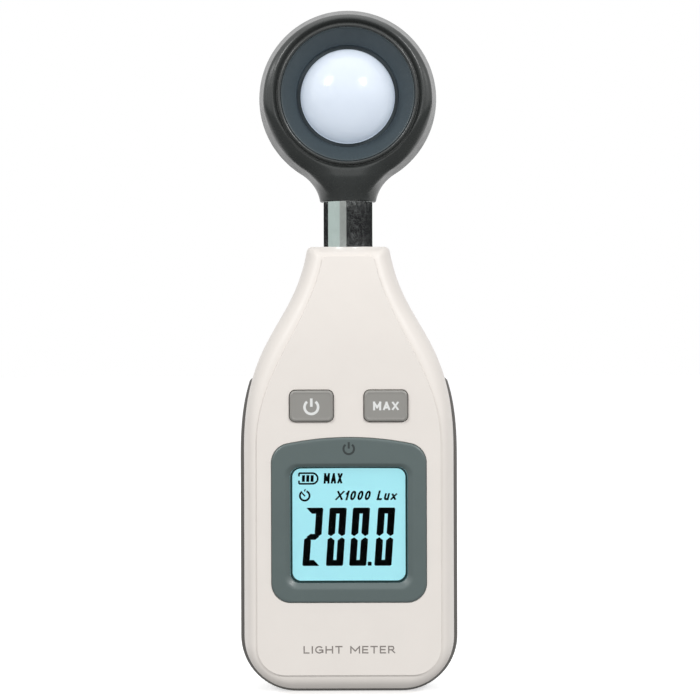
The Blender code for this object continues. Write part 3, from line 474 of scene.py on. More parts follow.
def back_half(like):
    """The flat back's outline, with as many side points as the rim's."""
    side = like[CORNER_STEPS:-TIP_STEPS]
    low, high = side[0][1], side[-1][1]
    start, end = FACE_BOTTOM + BACK_CORNER, FACE_TOP - 1.2
    heights = [start + (z - low) / (high - low) * (end - start) for x, z in side]
    points = [(curve_x(BACK_SIDE, z), z) for z in heights]
    return half_outline(FACE_BOTTOM, BACK_CORNER, points, FACE_TOP, 1.2)


def arched_half(half_width, bottom, radius, shoulder, apex):
    """Right half of the display bezel's outline, whose top edge is a shallow arch."""
    middle = half_width - radius
    height = apex - shoulder
    arch = (middle ** 2 + height ** 2 - radius ** 2) / (2 * (height - radius))
    lean = math.degrees(math.asin(middle / (arch - radius)))
    half = arc((middle, bottom + radius), radius, -90, 0, 12)
    half += arc((middle, shoulder), radius, 0, 90 - lean, 12)
    return half + arc((0, apex - arch), arch, 90 - lean, 90 - lean / 20, 16)[1:]


def bezel_outline(grow=0.0):
    return mirrored(arched_half(BEZEL_HIGH.x + grow, BEZEL_LOW.z - grow, 4.6 + grow, BEZEL_SHOULDER,
                                BEZEL_HIGH.z + grow))


def opening_outline(grow):
    return mirrored(arched_half(WINDOW_HALF + grow, WINDOW_BOTTOM - grow, 2.2 + grow * 0.6,
                                WINDOW_TOP - 2.25, WINDOW_TOP + grow * 0.6 + 0.02))


# Meshes


def skin(bm, loops, closed=False):
    """Faces between rings of points that all have the same count."""
    rings = [[bm.verts.new(p) for p in loop] for loop in loops]
    pairs = list(zip(rings, rings[1:]))
    if closed:
        pairs.append((rings[-1], rings[0]))
    for low, high in pairs:
        for i in range(len(low)):
            j = (i + 1) % len(low)
            bm.faces.new((low[i], low[j], high[j], high[i]))
    return rings


def capped(bm, loops):
    """A closed solid through rings of points."""
    rings = skin(bm, loops)
    bm.faces.new(rings[0])
    bm.faces.new(rings[-1])


def rings_at(levels):
    """Rings of points from flat outlines in X and Z, each given with its depth."""
    return [[(x, y, z) for x, z in outline] for outline, y in levels]


def stack(bm, levels):
    """A closed solid through flat outlines."""
    capped(bm, rings_at(levels))


def hoop(bm, levels):
    """A closed ring whose section runs through flat outlines and back to the first."""
    skin(bm, rings_at(levels), closed=True)


def prism(bm, outline, front, back):
    stack(bm, [(outline, front), (outline, back)])


def block(bm, low, high):
    corners = [(low[0], low[2]), (high[0], low[2]), (high[0], high[2]), (low[0], high[2])]
    prism(bm, corners, low[1], high[1])


def cylinder(bm, start, end, radius, segments=48):
    start, end = Vector(start), Vector(end)
    run = end - start
    turn = run.to_track_quat("Z", "Y").to_matrix().to_4x4()
    bmesh.ops.create_cone(bm, cap_ends=True, segments=segments, radius1=radius, radius2=radius,
                          depth=run.length, matrix=Matrix.Translation((start + end) / 2) @ turn)


def turned(bm, profile, center, axis, segments=96, ring=False):
    """Spin (radius, height) points about the axis through center. A ring profile is closed."""
    axis = Vector(axis)
    verts = [bm.verts.new(Vector(center) + Vector((r, 0, 0)) + axis * h) for r, h in profile]
    edges = [bm.edges.new(pair) for pair in zip(verts, verts[1:])]
    if ring:
        edges.append(bm.edges.new((verts[-1], verts[0])))
    bmesh.ops.spin(bm, geom=verts + edges, cent=center, axis=axis, angle=math.tau, steps=segments,
                   use_merge=True)
    bmesh.ops.remove_doubles(bm, verts=bm.verts, dist=0.0005)


def tube(bm, route, radius, sides=12):
    """A round rod with flat ends along a line of points."""
    points = [Vector(p) for p in route]
    rings = []
    side = None
    for i, point in enumerate(points):
        ahead = (points[min(i + 1, len(points) - 1)] - points[max(i - 1, 0)]).normalized()
        if side is None:
            side = ahead.orthogonal().normalized()
        side = (side - ahead * side.dot(ahead)).normalized()
        other = ahead.cross(side)
        rings.append([point + (side * math.cos(a) + other * math.sin(a)) * radius
                      for a in (math.tau * k / sides for k in range(sides))])
    capped(bm, rings)


def case_depth(y, z):
    """The case gets thinner towards the neck, front and back alike."""
    rise = min(max((z - THINNING_START) / (CASE_TOP - THINNING_START), 0.0), 1.0)
    return PARTING + (y - PARTING) * (1.0 - NECK_THINNING * rise * rise)


def case_solid(bm, levels):
    """A closed solid through half outlines at several depths, each (y, half outline)."""
    loops = [[(x, case_depth(y, z), z) for x, z in mirrored(half)] for y, half in levels]
    rings = skin(bm, loops)
    for ring in (rings[0], rings[-1]):
        count = len(ring)
        for i in range(count // 2 - 1):
            bm.faces.new((ring[i], ring[i + 1], ring[count - 2 - i], ring[count - 1 - i]))


def solid(name, bm):
    """An object in metres, at the origin, from a mesh in millimetres."""
    bmesh.ops.recalc_face_normals(bm, faces=bm.faces)
    bmesh.ops.scale(bm, vec=(MM, MM, MM), verts=bm.verts)
    mesh = bpy.data.meshes.new(name)
    bm.to_mesh(mesh)
    bm.free()
    mesh.shade_smooth()
    made = bpy.data.objects.new(name, mesh)
    bpy.context.collection.objects.link(made)
    return made


def shaped(name, fill, *values, **options):
    """A solid whose mesh is filled in by a function."""
    bm = bmesh.new()
    fill(bm, *values, **options)
    return solid(name, bm)


def rod(name, x, z, start, end, radius):
    """A round solid along Y, from one depth to another."""
    return shaped(name, cylinder, (x, start, z), (x, end, z), radius)


def loft(name, first, second, section):
    """A case solid from one half outline to another, through (weight, depth) points."""
    return shaped(name, case_solid, [(y, blend(first, second, weight)) for weight, y in section])


def combine(target, tools, operation="DIFFERENCE"):
    """Cut the tools out of the target, or join them to it, and remove them."""
    for other in tools:
        step = target.modifiers.new(other.name, "BOOLEAN")
        step.object = other
        step.operation = operation
        step.solver = "EXACT"
    graph = bpy.context.evaluated_depsgraph_get()
    mesh = bpy.data.meshes.new_from_object(target.evaluated_get(graph))
    target.modifiers.clear()
    target.data = mesh
    for other in tools:
        bpy.data.objects.remove(other)


def dress(piece, body, slot, replaced=(), look=None, sharp=38.0, form=None):
    """Give a finished mesh its slot's material, or a look of its own, and its body, and let it stand for CAD
    nodes.

    A mesh cut from a form, which is a field of points in millimetres, is shaded as that form.
    """
    mesh = piece.data
    mesh.materials.clear()
    mesh.materials.append(look or LOOKS[slot])
    for face in mesh.polygons:
        face.material_index = 0
        face.use_smooth = True
    mesh.set_sharp_from_angle(angle=math.radians(sharp))
    if form:
        shade_as(mesh, form)
    else:
        even = piece.modifiers.new("even_shading", "WEIGHTED_NORMAL")
        even.keep_sharp = True
    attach(piece, body)
    if replaced:
        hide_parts(*replaced)
    return piece


# Case


def neck_tools():
    hole = TUBE_HIGH.x + GAP
    return [shaped("neck_hole", cylinder, (0, 0, SHELF_BOTTOM - 1), (0, 0, CASE_TOP + 2), hole, 64),
            shaped("collar_chamber", cylinder, (0, 0, SHELF_TOP), (0, 0, CHAMBER_TOP), CHAMBER_R)]


def front_cover():
    """The ivory half: a raised flat face with a fine step round it, on soft shoulders."""
    edge = FRONT_HIGH.y
    shoulder = ((0.0, edge - 0.2), (0.0, -9.6), (0.32, -12.75), (0.95, FACE + 0.46))
    section = [(0.03, edge), (0.008, edge - 0.06)]
    section += [tuple(bezier(shoulder, i / 26)) for i in range(27)]
    section += softened([(0.965, FACE + 0.45), (0.985, FACE + 0.44), (1.0, FACE), (1.06, FACE)],
                        (0.05, 0.05), 4)[1:]
    cover = loft("front_shell", case_half(), face_half(), section + [(1.14, FACE)])
    inner, inner_face = case_half(WALL, SHELF_BOTTOM, 0.5), face_half(WALL, SHELF_BOTTOM - 2, 0.5)
    tools = [loft("cavity", inner, inner_face, ((0.0, edge + 2), (0.07, -8.3), (0.72, FACE + 2.1)))]
    seat = ((0.2, FACE - 2), (0.2, FACE), (0.1, FACE + 0.05), (0.06, FACE + 0.15), (0.06, BEZEL_HIGH.y + GAP))
    tools.append(shaped("bezel_seat", stack, [(bezel_outline(grow), y) for grow, y in seat]))
    opening = rounded_rect(0, WINDOW_MIDDLE, 31.0, 30.6, 1.0)
    tools.append(shaped("window_opening", prism, opening, FACE - 2, FACE + 4))
    lip = ((0.32, FACE - 2), (0.32, FACE), (0.22, FACE + 0.03), (0.16, FACE + 0.1), (0.13, FACE + 0.2),
           (0.13, FACE + 4))
    for x in (-BUTTON_X, BUTTON_X):
        levels = grown_rect(x, BUTTON_Z, BUTTON_WIDTH, BUTTON_HEIGHT, BUTTON_CORNER, lip)
        tools.append(shaped("button_opening", stack, levels))
    combine(cover, tools + neck_tools())
    dress(cover, "root", "front_plastic", ["front_cover"])


def rear_hollows(edge):
    """The cavity in front of the battery bay, and the one above it."""
    inner = case_half(REAR_WALL, SHELF_BOTTOM, 0.5)
    bottom = BAY_TOP + 4.2
    upper = side_points(CASE_SIDE, bottom, SHELF_BOTTOM - 0.9, WALL + 0.2)
    upper_back = side_points(BACK_SIDE, bottom, SHELF_BOTTOM - 2.5, WALL)
    upper = half_outline(BAY_TOP + 3.0, 1.0, upper, SHELF_BOTTOM - 0.4, 0.5)
    upper_back = half_outline(BAY_TOP + 3.0, 1.0, upper_back, SHELF_BOTTOM - 2, 0.5)
    return [shaped("cavity", case_solid, [(edge - 1, inner), (BAY_FLOOR - 1.5, inner)]),
            loft("upper_cavity", upper, upper_back, ((0.0, edge + 1), (0.03, 8.5), (0.7, 12.4)))]


def rear_cover():
    """The grey half, with the flat foot, the battery bay, the plate's seat and four screw wells."""
    rim = rim_half()
    edge = REAR_LOW.y
    belly = ((0.0, 8.5), (0.0, 11.3), (0.42, BACK), (1.0, BACK))
    section = [(0.07, edge), (0.035, edge + 0.05), (0.012, edge + 0.18), (0.0, edge + 0.42)]
    section += [tuple(bezier(belly, i / 22)) for i in range(23)] + [(1.12, BACK)]
    cover = loft("rear_shell", rim, back_half(rim), section)
    combine(cover, rear_hollows(edge))
    combine(cover, [rod("boss", x, z, edge, 13.0, 3.2) for x, z in CASE_SCREWS], "UNION")
    tools = [shaped("bay", block, (-BAY_HALF, BAY_FLOOR, BAY_BOTTOM), (BAY_HALF, BACK + 1, BAY_TOP))]
    seat = ((0.4, DOOR_PLATE - GAP), (0.4, BACK - 0.25), (0.47, BACK - 0.08), (0.65, BACK + 0.02),
            (0.65, BACK + 2))
    tools.append(shaped("door_seat", stack, plate_levels(DOOR_LOW, DOOR_HIGH, DOOR_CORNER, seat)))
    for x in (-CELL_PITCH / 2, CELL_PITCH / 2):
        tools.append(shaped("tongue_slot", block, (x - 2.2, 10.4, BAY_TOP - 1),
                            (x + 2.2, DOOR_PLATE, DOOR_HIGH.z + 0.45)))
    tools.append(shaped("latch_slot", block, (-4.4, 11.1, DOOR_LOW.z - 0.1),
                        (4.4, DOOR_PLATE, BAY_BOTTOM + 1)))
    tools.append(shaped("plate_seat", prism, rounded_rect(0, 74.0, 22.6, 12.6, 1.3), BACK - 0.5, BACK + 1))
    for x, y, z in ((CELL_PITCH, 6.0, BAY_TOP), (-CELL_PITCH, 5.0, BAY_BOTTOM)):
        tools.append(shaped("lead_slot", block, (x - 1.6, y - 2, z - 4), (x + 1.6, y + 2, z + 4)))
    for x, z in CASE_SCREWS:
        top = case_depth(BACK, z)
        well = [(0.0, edge - 1), (1.05, edge - 1), (1.05, CASE_SEAT), (2.4, CASE_SEAT), (2.4, top - 0.25),
                (2.5, top - 0.08), (2.72, top + 0.03), (2.72, BACK + 1), (0.0, BACK + 1)]
        tools.append(shaped("screw_well", turned, well, (x, 0, z), ALONG_Y, 48))
    combine(cover, tools + neck_tools())
    dress(cover, "root", "rear_plastic", ["rear_cover"])


def battery_door():
    """The door, with a thumb scoop over its catch and ribs across the scoop."""
    edge = ((0.15, DOOR_PLATE), (0.0, DOOR_PLATE + 0.15), (0.0, BACK - 0.45), (-0.05, BACK - 0.22),
            (-0.16, BACK - 0.08), (-0.34, BACK), (-0.6, BACK))
    door = shaped("door_shell", stack, plate_levels(DOOR_LOW, DOOR_HIGH, DOOR_CORNER, edge))
    scoop_z = DOOR_LOW.z + 9.0
    ball, depth = 22.0, 0.75
    lens = [(0.0, -depth)]
    lens += [(r, -depth + ball - math.sqrt(ball ** 2 - r * r)) for r in (1.5, 3.0, 4.5, 5.4, 5.9)]
    lens += [(6.4, 0.3), (6.4, 2.0), (0.0, 2.0)]
    combine(door, [shaped("scoop", turned, lens, (0, BACK, scoop_z), ALONG_Y, 64)])
    inside = DOOR_PLATE + 0.7
    added = [shaped("catch", block, (-4.0, 11.5, DOOR_LOW.z + 0.4), (4.0, inside, DOOR_LOW.z + 1.8))]
    for x in (-CELL_PITCH / 2, CELL_PITCH / 2):
        added.append(shaped("tongue", block, (x - 1.8, 11.3, 59.7), (x + 1.8, inside, 61.9)))
    for i in range(-2, 3):
        rise = i * 1.5
        half = math.sqrt(5.0 ** 2 - rise ** 2)
        ends = [(x, BACK - 0.52, scoop_z + rise) for x in (-half, half)]
        added.append(shaped("grip", tube, ends, 0.32, 16))
    combine(door, added, "UNION")
    dress(door, "door", "rear_plastic", ["battery_door"])


def rating_plate():
    """A blank film plate with a fine printed frame and three plain rules."""
    low, high = box_mm("rating_plate")
    film = ((0.0, low.y), (0.0, high.y - 0.05), (-0.05, high.y))
    dress(shaped("plate_film", stack, plate_levels(low, high, 1.0, film)), "root", "label_film",
          ["rating_plate"])
    z, width, height = (low.z + high.z) / 2, 2 * high.x, high.z - low.z
    back, front = high.y, high.y + 0.02
    outer = rounded_rect(0, z, width - 1.4, height - 1.4, 0.6)
    inner = rounded_rect(0, z, width - 1.8, height - 1.8, 0.4)
    bm = bmesh.new()
    hoop(bm, ((outer, back), (outer, front), (inner, front), (inner, back)))
    for rise in (2.4, 0.0, -2.4):
        block(bm, (-width / 2 + 3.0, back, z + rise - 0.08), (width / 2 - 3.0, front, z + rise + 0.08))
    dress(solid("plate_print", bm), "root", "label_film", look=DARK_PRINT)


def screw(node, x, z, seat, head_r, reach, body):
    """A cross-recessed pan-head screw along Y, its head behind the seat."""
    thread = []
    pitch = 0.5
    for i in range(int(reach / pitch) - 2):
        thread += [(0.88, -i * pitch - 0.1), (0.66, -i * pitch - 0.3)]
    profile = [(0.0, -reach), (0.4, -reach + 0.1)] + thread[::-1] + [(head_r, 0.0)]
    profile += arc((head_r - 0.45, 0.65), 0.45, 0, 55, 4) + [(head_r * 0.55, 1.3), (0.0, 1.4)]
    piece = shaped(f"{node}_detail", turned, profile, (x, seat, z), ALONG_Y, 40)
    tools = []
    for wide, tall in ((head_r * 0.62, 0.24), (0.24, head_r * 0.62)):
        tip, slot = ([(x - w, z - t), (x + w, z - t), (x + w, z + t), (x - w, z + t)]
                     for w, t in ((wide * 0.55, tall * 0.55), (wide, tall)))
        tools.append(shaped("recess", stack, [(tip, seat + 0.55), (slot, seat + 1.9)]))
    combine(piece, tools)
    dress(piece, body, "plated_steel", [node], sharp=30.0)


# Display


def lcd_bezel():
    """The frame round the display: a fine outer round, a flat ring and a broad slope to the window."""
    front, back = BEZEL_LOW.y, BEZEL_HIGH.y
    round_off = 0.55
    rings = [(bezel_outline(0.0), back), (bezel_outline(0.0), front + round_off)]
    rings += [(bezel_outline(-inset), front + left) for inset, left in edge_round(round_off, round_off)]
    rings.append((bezel_outline(-round_off - 0.4), front))
    slope = softened([(2.3, front), (1.6, front), (0.5, back - 0.5), (0.3, back - 0.32), (0.3, back)],
                     (0.4, 0.3, 0.08), 5)
    rings += [(opening_outline(grow), y) for grow, y in slope]
    dress(shaped("bezel_frame", hoop, rings), "root", "bezel_plastic", ["lcd_bezel"])
    # A dark teal band round the window, just under the bezel's inner edge: painted shadow of the bezel on the
    # display.
    section = ((0.27, back - 0.1), (0.27, back - 0.3), (-0.25, back - 0.3), (-0.25, back - 0.1))
    shadow_band = shaped("window_shadow_band", hoop, [(opening_outline(grow), y) for grow, y in section])
    dress(shadow_band, "root", "elastomer", look=PAINTED_SHADOW_EDGE, sharp=30.0)


def lcd_window():
    low, high = box_mm("lcd_window")
    edge = ((-0.12, low.y), (0.0, low.y + 0.12), (0.0, high.y - 0.12), (-0.12, high.y))
    pane = shaped("window_pane", stack, plate_levels(low, high, 0.8, edge))
    dress(pane, "root", "window", ["lcd_window"])


def joined(name, parts):
    """One object from several that are already in metres."""
    bm = bmesh.new()
    for part in parts:
        bm.from_mesh(part.data)
        bpy.data.objects.remove(part)
    mesh = bpy.data.meshes.new(name)
    bm.to_mesh(mesh)
    bm.free()
    made = bpy.data.objects.new(name, mesh)
    bpy.context.collection.objects.link(made)
    return made


def stroke_sides(line, width, cap=0.0, closed=False):
    """Both sides of a band of constant width along a line in X and Z, with square ends."""
    points = [Vector(p) for p in line]
    count = len(points)
    if not closed:
        points[0] -= (points[1] - points[0]).normalized() * cap
        points[-1] += (points[-1] - points[-2]).normalized() * cap
    left, right = [], []
    for i, point in enumerate(points):
        after, before = (i + 1) % count, i - 1
        if not closed:
            after, before = min(i + 1, count - 1), max(i - 1, 0)
        ahead = (points[after] - points[before]).normalized()
        across = Vector((-ahead.y, ahead.x)) * width / 2
        left.append(tuple(point + across))
        right.append(tuple(point - across))
    return left, right


def stroke(bm, line, width, y, thick):
    """A flat printed line of constant width."""
    left, right = stroke_sides(line, width)
    outline = left + right[::-1]
    rings = skin(bm, [[(x, depth, z) for x, z in outline] for depth in (y - thick, y)])
    for ring in rings:
        for i in range(len(line) - 1):
            bm.faces.new((ring[i], ring[i + 1], ring[-2 - i], ring[-1 - i]))


def curved(center, radius, start, end, squeeze=1.0):
    """Points on an arc in a letter's unit box, squeezed in height."""
    return [(x, center[1] + (z - center[1]) * squeeze) for x, z in arc(center, radius, start, end, 14)]


# Each letter: its width and height as shares of the line's height, and its strokes in a unit box
LETTERS = {
    "A": (0.85, 1.0, [[(0, 0), (0.5, 1)], [(0.5, 1), (1, 0)], [(0.2, 0.27), (0.8, 0.27)]]),
    "E": (0.6, 1.0, [[(0, 0), (0, 1)], [(0, 0), (1, 0)], [(0, 0.5), (0.9, 0.5)], [(0, 1), (1, 1)]]),
    "G": (0.8, 1.0, [curved((0.5, 0.5), 0.5, 48, 332), [(0.55, 0.46), (1, 0.46)], [(1, 0.46), (1, 0.1)]]),
    "H": (0.74, 1.0, [[(0, 0), (0, 1)], [(1, 0), (1, 1)], [(0, 0.5), (1, 0.5)]]),
    "I": (0.14, 1.0, [[(0.5, 0), (0.5, 1)]]),
    "L": (0.58, 1.0, [[(0, 0), (0, 1)], [(0, 0), (1, 0)]]),
    "M": (0.95, 1.0, [[(0, 0), (0, 1)], [(1, 0), (1, 1)], [(0, 1), (0.5, 0.3)], [(0.5, 0.3), (1, 1)]]),
    "R": (0.68, 1.0, [[(0, 0), (0, 1)],
                      [(0, 1), (0.6, 1)] + curved((0.6, 0.74), 0.26, 80, -80) + [(0.6, 0.48), (0, 0.48)],
                      [(0.5, 0.48), (1, 0)]]),
    "T": (0.7, 1.0, [[(0.5, 0), (0.5, 1)], [(0, 1), (1, 1)]]),
    "X": (0.8, 1.0, [[(0, 0), (1, 1)], [(0, 1), (1, 0)]]),
    "u": (0.58, 0.72, [[(0, 1), (0, 0.4)] + curved((0.5, 0.4), 0.5, 180, 352, 0.8), [(1, 0), (1, 1)]]),
    "x": (0.62, 0.72, [[(0, 0), (1, 1)], [(0, 1), (1, 0)]]),
    "0": (0.6, 1.0, [curved((0.5, 0.5), 0.5, 0, 360)]),
    "1": (0.34, 1.0, [[(1, 0), (1, 1)], [(1, 0.95), (0, 0.72)]]),
    " ": (0.35, 1.0, []),
}


def lettering(words, low_x, high_x, low_z, high_z, y, thick, weight, slant=0.0):
    """Plain block lettering that fills a box in X and Z: a list of solids, one to a letter."""
    height = high_z - low_z
    advance = sum(LETTERS[c][0] for c in words) + LETTER_SPACE * (len(words) - 1)
    unit = (high_x - low_x - slant * height) / advance
    made = []
    left = low_x
    for letter in words:
        wide, tall, strokes = LETTERS[letter]
        top = low_z + height * tall
        bars = []
        for line in strokes:
            loop = math.dist(line[0], line[-1]) < 0.001
            points = [(left + weight / 2 + u * max(wide * unit - weight, 0.0),
                       low_z + weight / 2 + v * (height * tall - weight)) for u, v in line]
            held = []
            for side in stroke_sides(points[:-1] if loop else points, weight, weight / 2, loop):
                inside = [(x, min(max(z, low_z), top)) for x, z in side]
                held.append([(x + slant * (z - low_z), z) for x, z in inside])
            if loop:
                edges = ((held[0], y - thick), (held[0], y), (held[1], y), (held[1], y - thick))
                bars.append(shaped("bar", hoop, edges))
            else:
                bars.append(shaped("bar", prism, held[0] + held[1][::-1], y - thick, y))
        if len(bars) > 1:
            combine(bars[0], bars[1:], "UNION")
        made += bars[:1]
        left += (wide + LETTER_SPACE) * unit
    return made


def power_symbol(bm, x, z, radius, width, y, thick):
    """The usual standby symbol: a ring open at the top and a bar in the opening."""
    stroke(bm, arc((x, z), radius, 128, 412, 40), width, y, thick)
    stroke(bm, [(x, z + radius * 0.05), (x, z + radius * 1.28)], width, y, thick)


def segment_shapes():
    """The seven segments as bars with mitred ends, of which three are drawn and the rest mirrored."""
    wide, high = DIGIT_WIDTH, DIGIT_HEIGHT
    middle = high / 2
    end, nick = SEGMENT_GAP + 0.22, SEGMENT_GAP + 0.1
    inner, across = BAR_LEVEL + SEGMENT_GAP, BAR_LEVEL / 2
    top = [(end, high), (wide - end, high), (wide - nick, high - 0.1), (wide - inner, high - BAR_LEVEL),
           (inner, high - BAR_LEVEL), (nick, high - 0.1)]
    bridge = [(SEGMENT_GAP + 0.5, middle), (inner, middle + across), (wide - inner, middle + across),
              (wide - SEGMENT_GAP - 0.5, middle), (wide - inner, middle - across), (inner, middle - across)]
    side = [(wide, high - end), (wide, middle + BAR_LEVEL * 0.42),
            (wide - BAR_UPRIGHT * 0.45, middle + MIDDLE_GAP),
            (wide - BAR_UPRIGHT, middle + across + MIDDLE_GAP),
            (wide - BAR_UPRIGHT, high - BAR_LEVEL - SEGMENT_GAP * 2),
            (wide - SEGMENT_GAP - 0.12, high - SEGMENT_GAP - 0.12)]
    left_side = [(wide - x, z) for x, z in side]
    lower = {new: [(x, high - z) for x, z in old] for new, old in (("d", top), ("c", side), ("e", left_side))}
    return {"a": top, "b": side, "f": left_side, "g": bridge, **lower}


def digit(bm, left, segments, y, thick):
    """One seven-segment figure, leaning as the display's figures do."""
    shapes = segment_shapes()
    for name in segments:
        outline = [(left + x + z * SLANT, DIGIT_BOTTOM + z) for x, z in shapes[name]]
        prism(bm, outline, y - thick, y)


def battery_symbol(bm, y, thick):
    """A battery with a round end and three bars. Its outline is open in the middle of the flat end."""
    low_x, high_x, low_z, high_z = -12.06, -7.28, 50.6, 53.46
    middle = (low_z + high_z) / 2
    left, top, bottom = low_x + 0.15, high_z - 0.16, low_z + 0.16
    radius = (high_z - low_z) / 2 - 0.16
    round_x = high_x - radius
    for line in ([(left, middle + 0.5), (left, top)], [(left, top), (round_x, top)],
                 arc((round_x - 0.16, middle), radius, 90, -90, 16),
                 [(round_x, bottom), (left, bottom)], [(left, bottom), (left, middle - 0.5)]):
        stroke(bm, line, 0.42, y, thick)
    for i in range(3):
        x = low_x + 1.2 + i * 1.04
        bar = [(x - 0.38, middle - 0.8), (x + 0.34, middle - 0.8), (x + 0.4, middle + 0.8),
               (x - 0.32, middle + 0.8)]
        prism(bm, bar, y - thick, y)


def clock_symbol(bm, y, thick):
    """A dial open at the top, with a hand and a tick."""
    x, z, radius = -10.56, 47.9, 1.15
    stroke(bm, arc((x, z), radius, 122, 428, 36), 0.46, y, thick)
    stroke(bm, [(x - 0.62, z + 0.62), (x + 0.1, z - 0.1)], 0.34, y, thick)
    stroke(bm, [(x - 0.1, z + radius - 0.1), (x + 0.18, z + radius + 0.42)], 0.3, y, thick)


def lcd_marks():
    """Everything the display shows, as thin dark shapes on its face."""
    y, thick = box_mm("lcd_panel")[0].y - 0.02, 0.04
    bm = bmesh.new()
    for left, figure in zip(DIGIT_LEFTS, "2000"):
        digit(bm, left, SEGMENTS[figure], y, thick)
    prism(bm, rounded_rect(4.92, DIGIT_BOTTOM + 0.5, 0.95, 0.95, 0.2, 3), y - thick, y)
    battery_symbol(bm, y, thick)
    clock_symbol(bm, y, thick)
    parts = [solid("symbols", bm)]
    for words, low_x, high_x, low_z, high_z, weight, slant in DISPLAY_WORDS:
        parts += lettering(words, low_x, high_x, low_z, high_z, y, thick, weight, slant)
    dress(joined("display_figures", parts), "root", "lcd", look=BLACK_PRINT, sharp=30.0)


def button(name, side):
    """A key cap with a rounded rim and a printed mark, on its retaining flange."""
    low, high = box_mm(f"{name}_button")
    x = side * BUTTON_X
    front, back = low.y, high.y
    flange = (high.x - low.x - BUTTON_WIDTH) / 2
    edge = [(flange, back), (flange, back - 0.7), (0.0, back - 0.7), (0.0, front + 0.55)]
    edge += [(-inset, front + 0.03 + left) for inset, left in edge_round(0.55, 0.52)]
    edge += [(-0.62, front + 0.06), (-0.72, front + 0.1), (-1.0, front + 0.1)]
    cap = shaped(f"{name}_key_cap", stack,
                 grown_rect(x, BUTTON_Z, BUTTON_WIDTH, BUTTON_HEIGHT, BUTTON_CORNER, edge))
    dress(cap, f"{name}_key", "button_plastic", [f"{name}_button"], sharp=32.0)
    print_y, thick = front + 0.1, 0.03
    if name == "power":
        mark = [shaped("mark", power_symbol, x, BUTTON_Z - 0.25, 1.62, 0.62, print_y, thick)]
    else:
        mark = lettering("MAX", x - 3.05, x + 3.05, BUTTON_Z - 1.05, BUTTON_Z + 1.05, print_y, thick, 0.5)
    dress(joined(f"{name}_key_print", mark), f"{name}_key", "button_plastic", look=WHITE_PRINT, sharp=30.0)


def case_print():
    """Two generic words below the display, and the symbol on the bezel."""
    words = lettering("LIGHT METER", -10.9, 10.9, 10.5, 12.3, FACE, 0.02, 0.3)
    dress(joined("face_print", words), "root", "front_plastic", look=GREY_PRINT, sharp=30.0)
    symbol = shaped("bezel_print", power_symbol, 0.0, 59.2, 1.25, 0.5, BEZEL_LOW.y, 0.02)
    dress(symbol, "root", "bezel_plastic", look=DARK_PRINT, sharp=30.0)


# Neck and head


def neck_tube():
    """The tube, with a shoulder under the stem and a narrower spigot inside it."""
    radius, top, bottom = TUBE_HIGH.x, TUBE_HIGH.z, TUBE_LOW.z
    step = STEM_BOTTOM + 0.4
    spigot, bore = 5.3, 4.2
    line = [(bore, bottom), (radius, bottom), (radius, step), (spigot, step), (spigot, top), (bore, top),
            (bore, bottom)]
    profile = softened(line, (0.25, 0.12, 0.1, 0.25, 0.2), 5)[:-1]
    piece = shaped("chrome_neck", turned, profile, (0, 0, 0), (0, 0, 1), 128, True)
    dress(piece, "sensor_head", "chrome", ["neck_tube"], sharp=60.0)


def silhouette_depth(x, z):
    """How far inside the head's silhouette a point is. The stem flares into the disc on two arcs."""
    flare_x = STEM_R + FLARE_R
    drop = math.sqrt((HEAD_R + FLARE_R) ** 2 - flare_x ** 2)
    below = HEAD_Z - z
    disc = HEAD_R - np.hypot(x, below)
    flare = np.hypot(np.abs(x) - flare_x, z - (HEAD_Z - drop)) - FLARE_R
    in_stem = np.abs(x) * drop < below * flare_x
    return np.where(in_stem, flare, disc)


def eased(value):
    """A smooth step from 0 to 1."""
    held = np.clip(value, 0.0, 1.0)
    return held * held * (3 - 2 * held)


def head_field(points):
    """Negative inside the head's outer form: a drafted drum that eases into a round stem."""
    x, y, z = points.T
    deep = silhouette_depth(x, z)
    rise = eased((z - STEM_BOTTOM) / 6.5)
    ahead = HEAD_PARTING * rise - y
    rounding = np.where(ahead > 0, SIDE_ROUND, SIDE_ROUND + (BACK_ROUND - SIDE_ROUND) * rise)
    reach = np.where(ahead > 0, STEM_R, STEM_R + (BACK_PLANE - HEAD_PARTING - STEM_R) * rise)
    side = np.maximum(rounding - deep, 0.0) / rounding
    foot = np.maximum(FOOT_ROUND - (z - STEM_BOTTOM), 0.0) / FOOT_ROUND
    rounded = (np.sqrt(side ** 2 + (ahead / reach) ** 2 + foot ** 2) - 1.0) * reach
    radius = np.hypot(x, z - HEAD_Z)
    flare = eased((HEAD_Z - 1.0 - z) / 12.0)
    draft = np.radians(8.0 + 6.6 * np.clip((z - HEAD_Z) / HEAD_R, -1.0, 1.0) + 6.0 * flare)
    corner = 1.0 + 3.4 * flare
    ridge = 0.42 * np.exp(-((radius - RIDGE_R) / 0.6) ** 2) * (1.0 - flare)
    groove = 0.5 * np.exp(-((radius - GROOVE_R) / 0.5) ** 2)
    off_side = ahead * np.sin(draft) - deep * np.cos(draft) + corner
    off_front = ahead - (HEAD_PARTING - FRONT_PLANE + ridge - groove) + corner
    drum = np.minimum(np.maximum(off_side, off_front), 0.0) - corner
    drum += np.hypot(np.maximum(off_side, 0.0), np.maximum(off_front, 0.0))
    return np.where(ahead > 0, rounded + (drum - rounded) * rise, rounded)


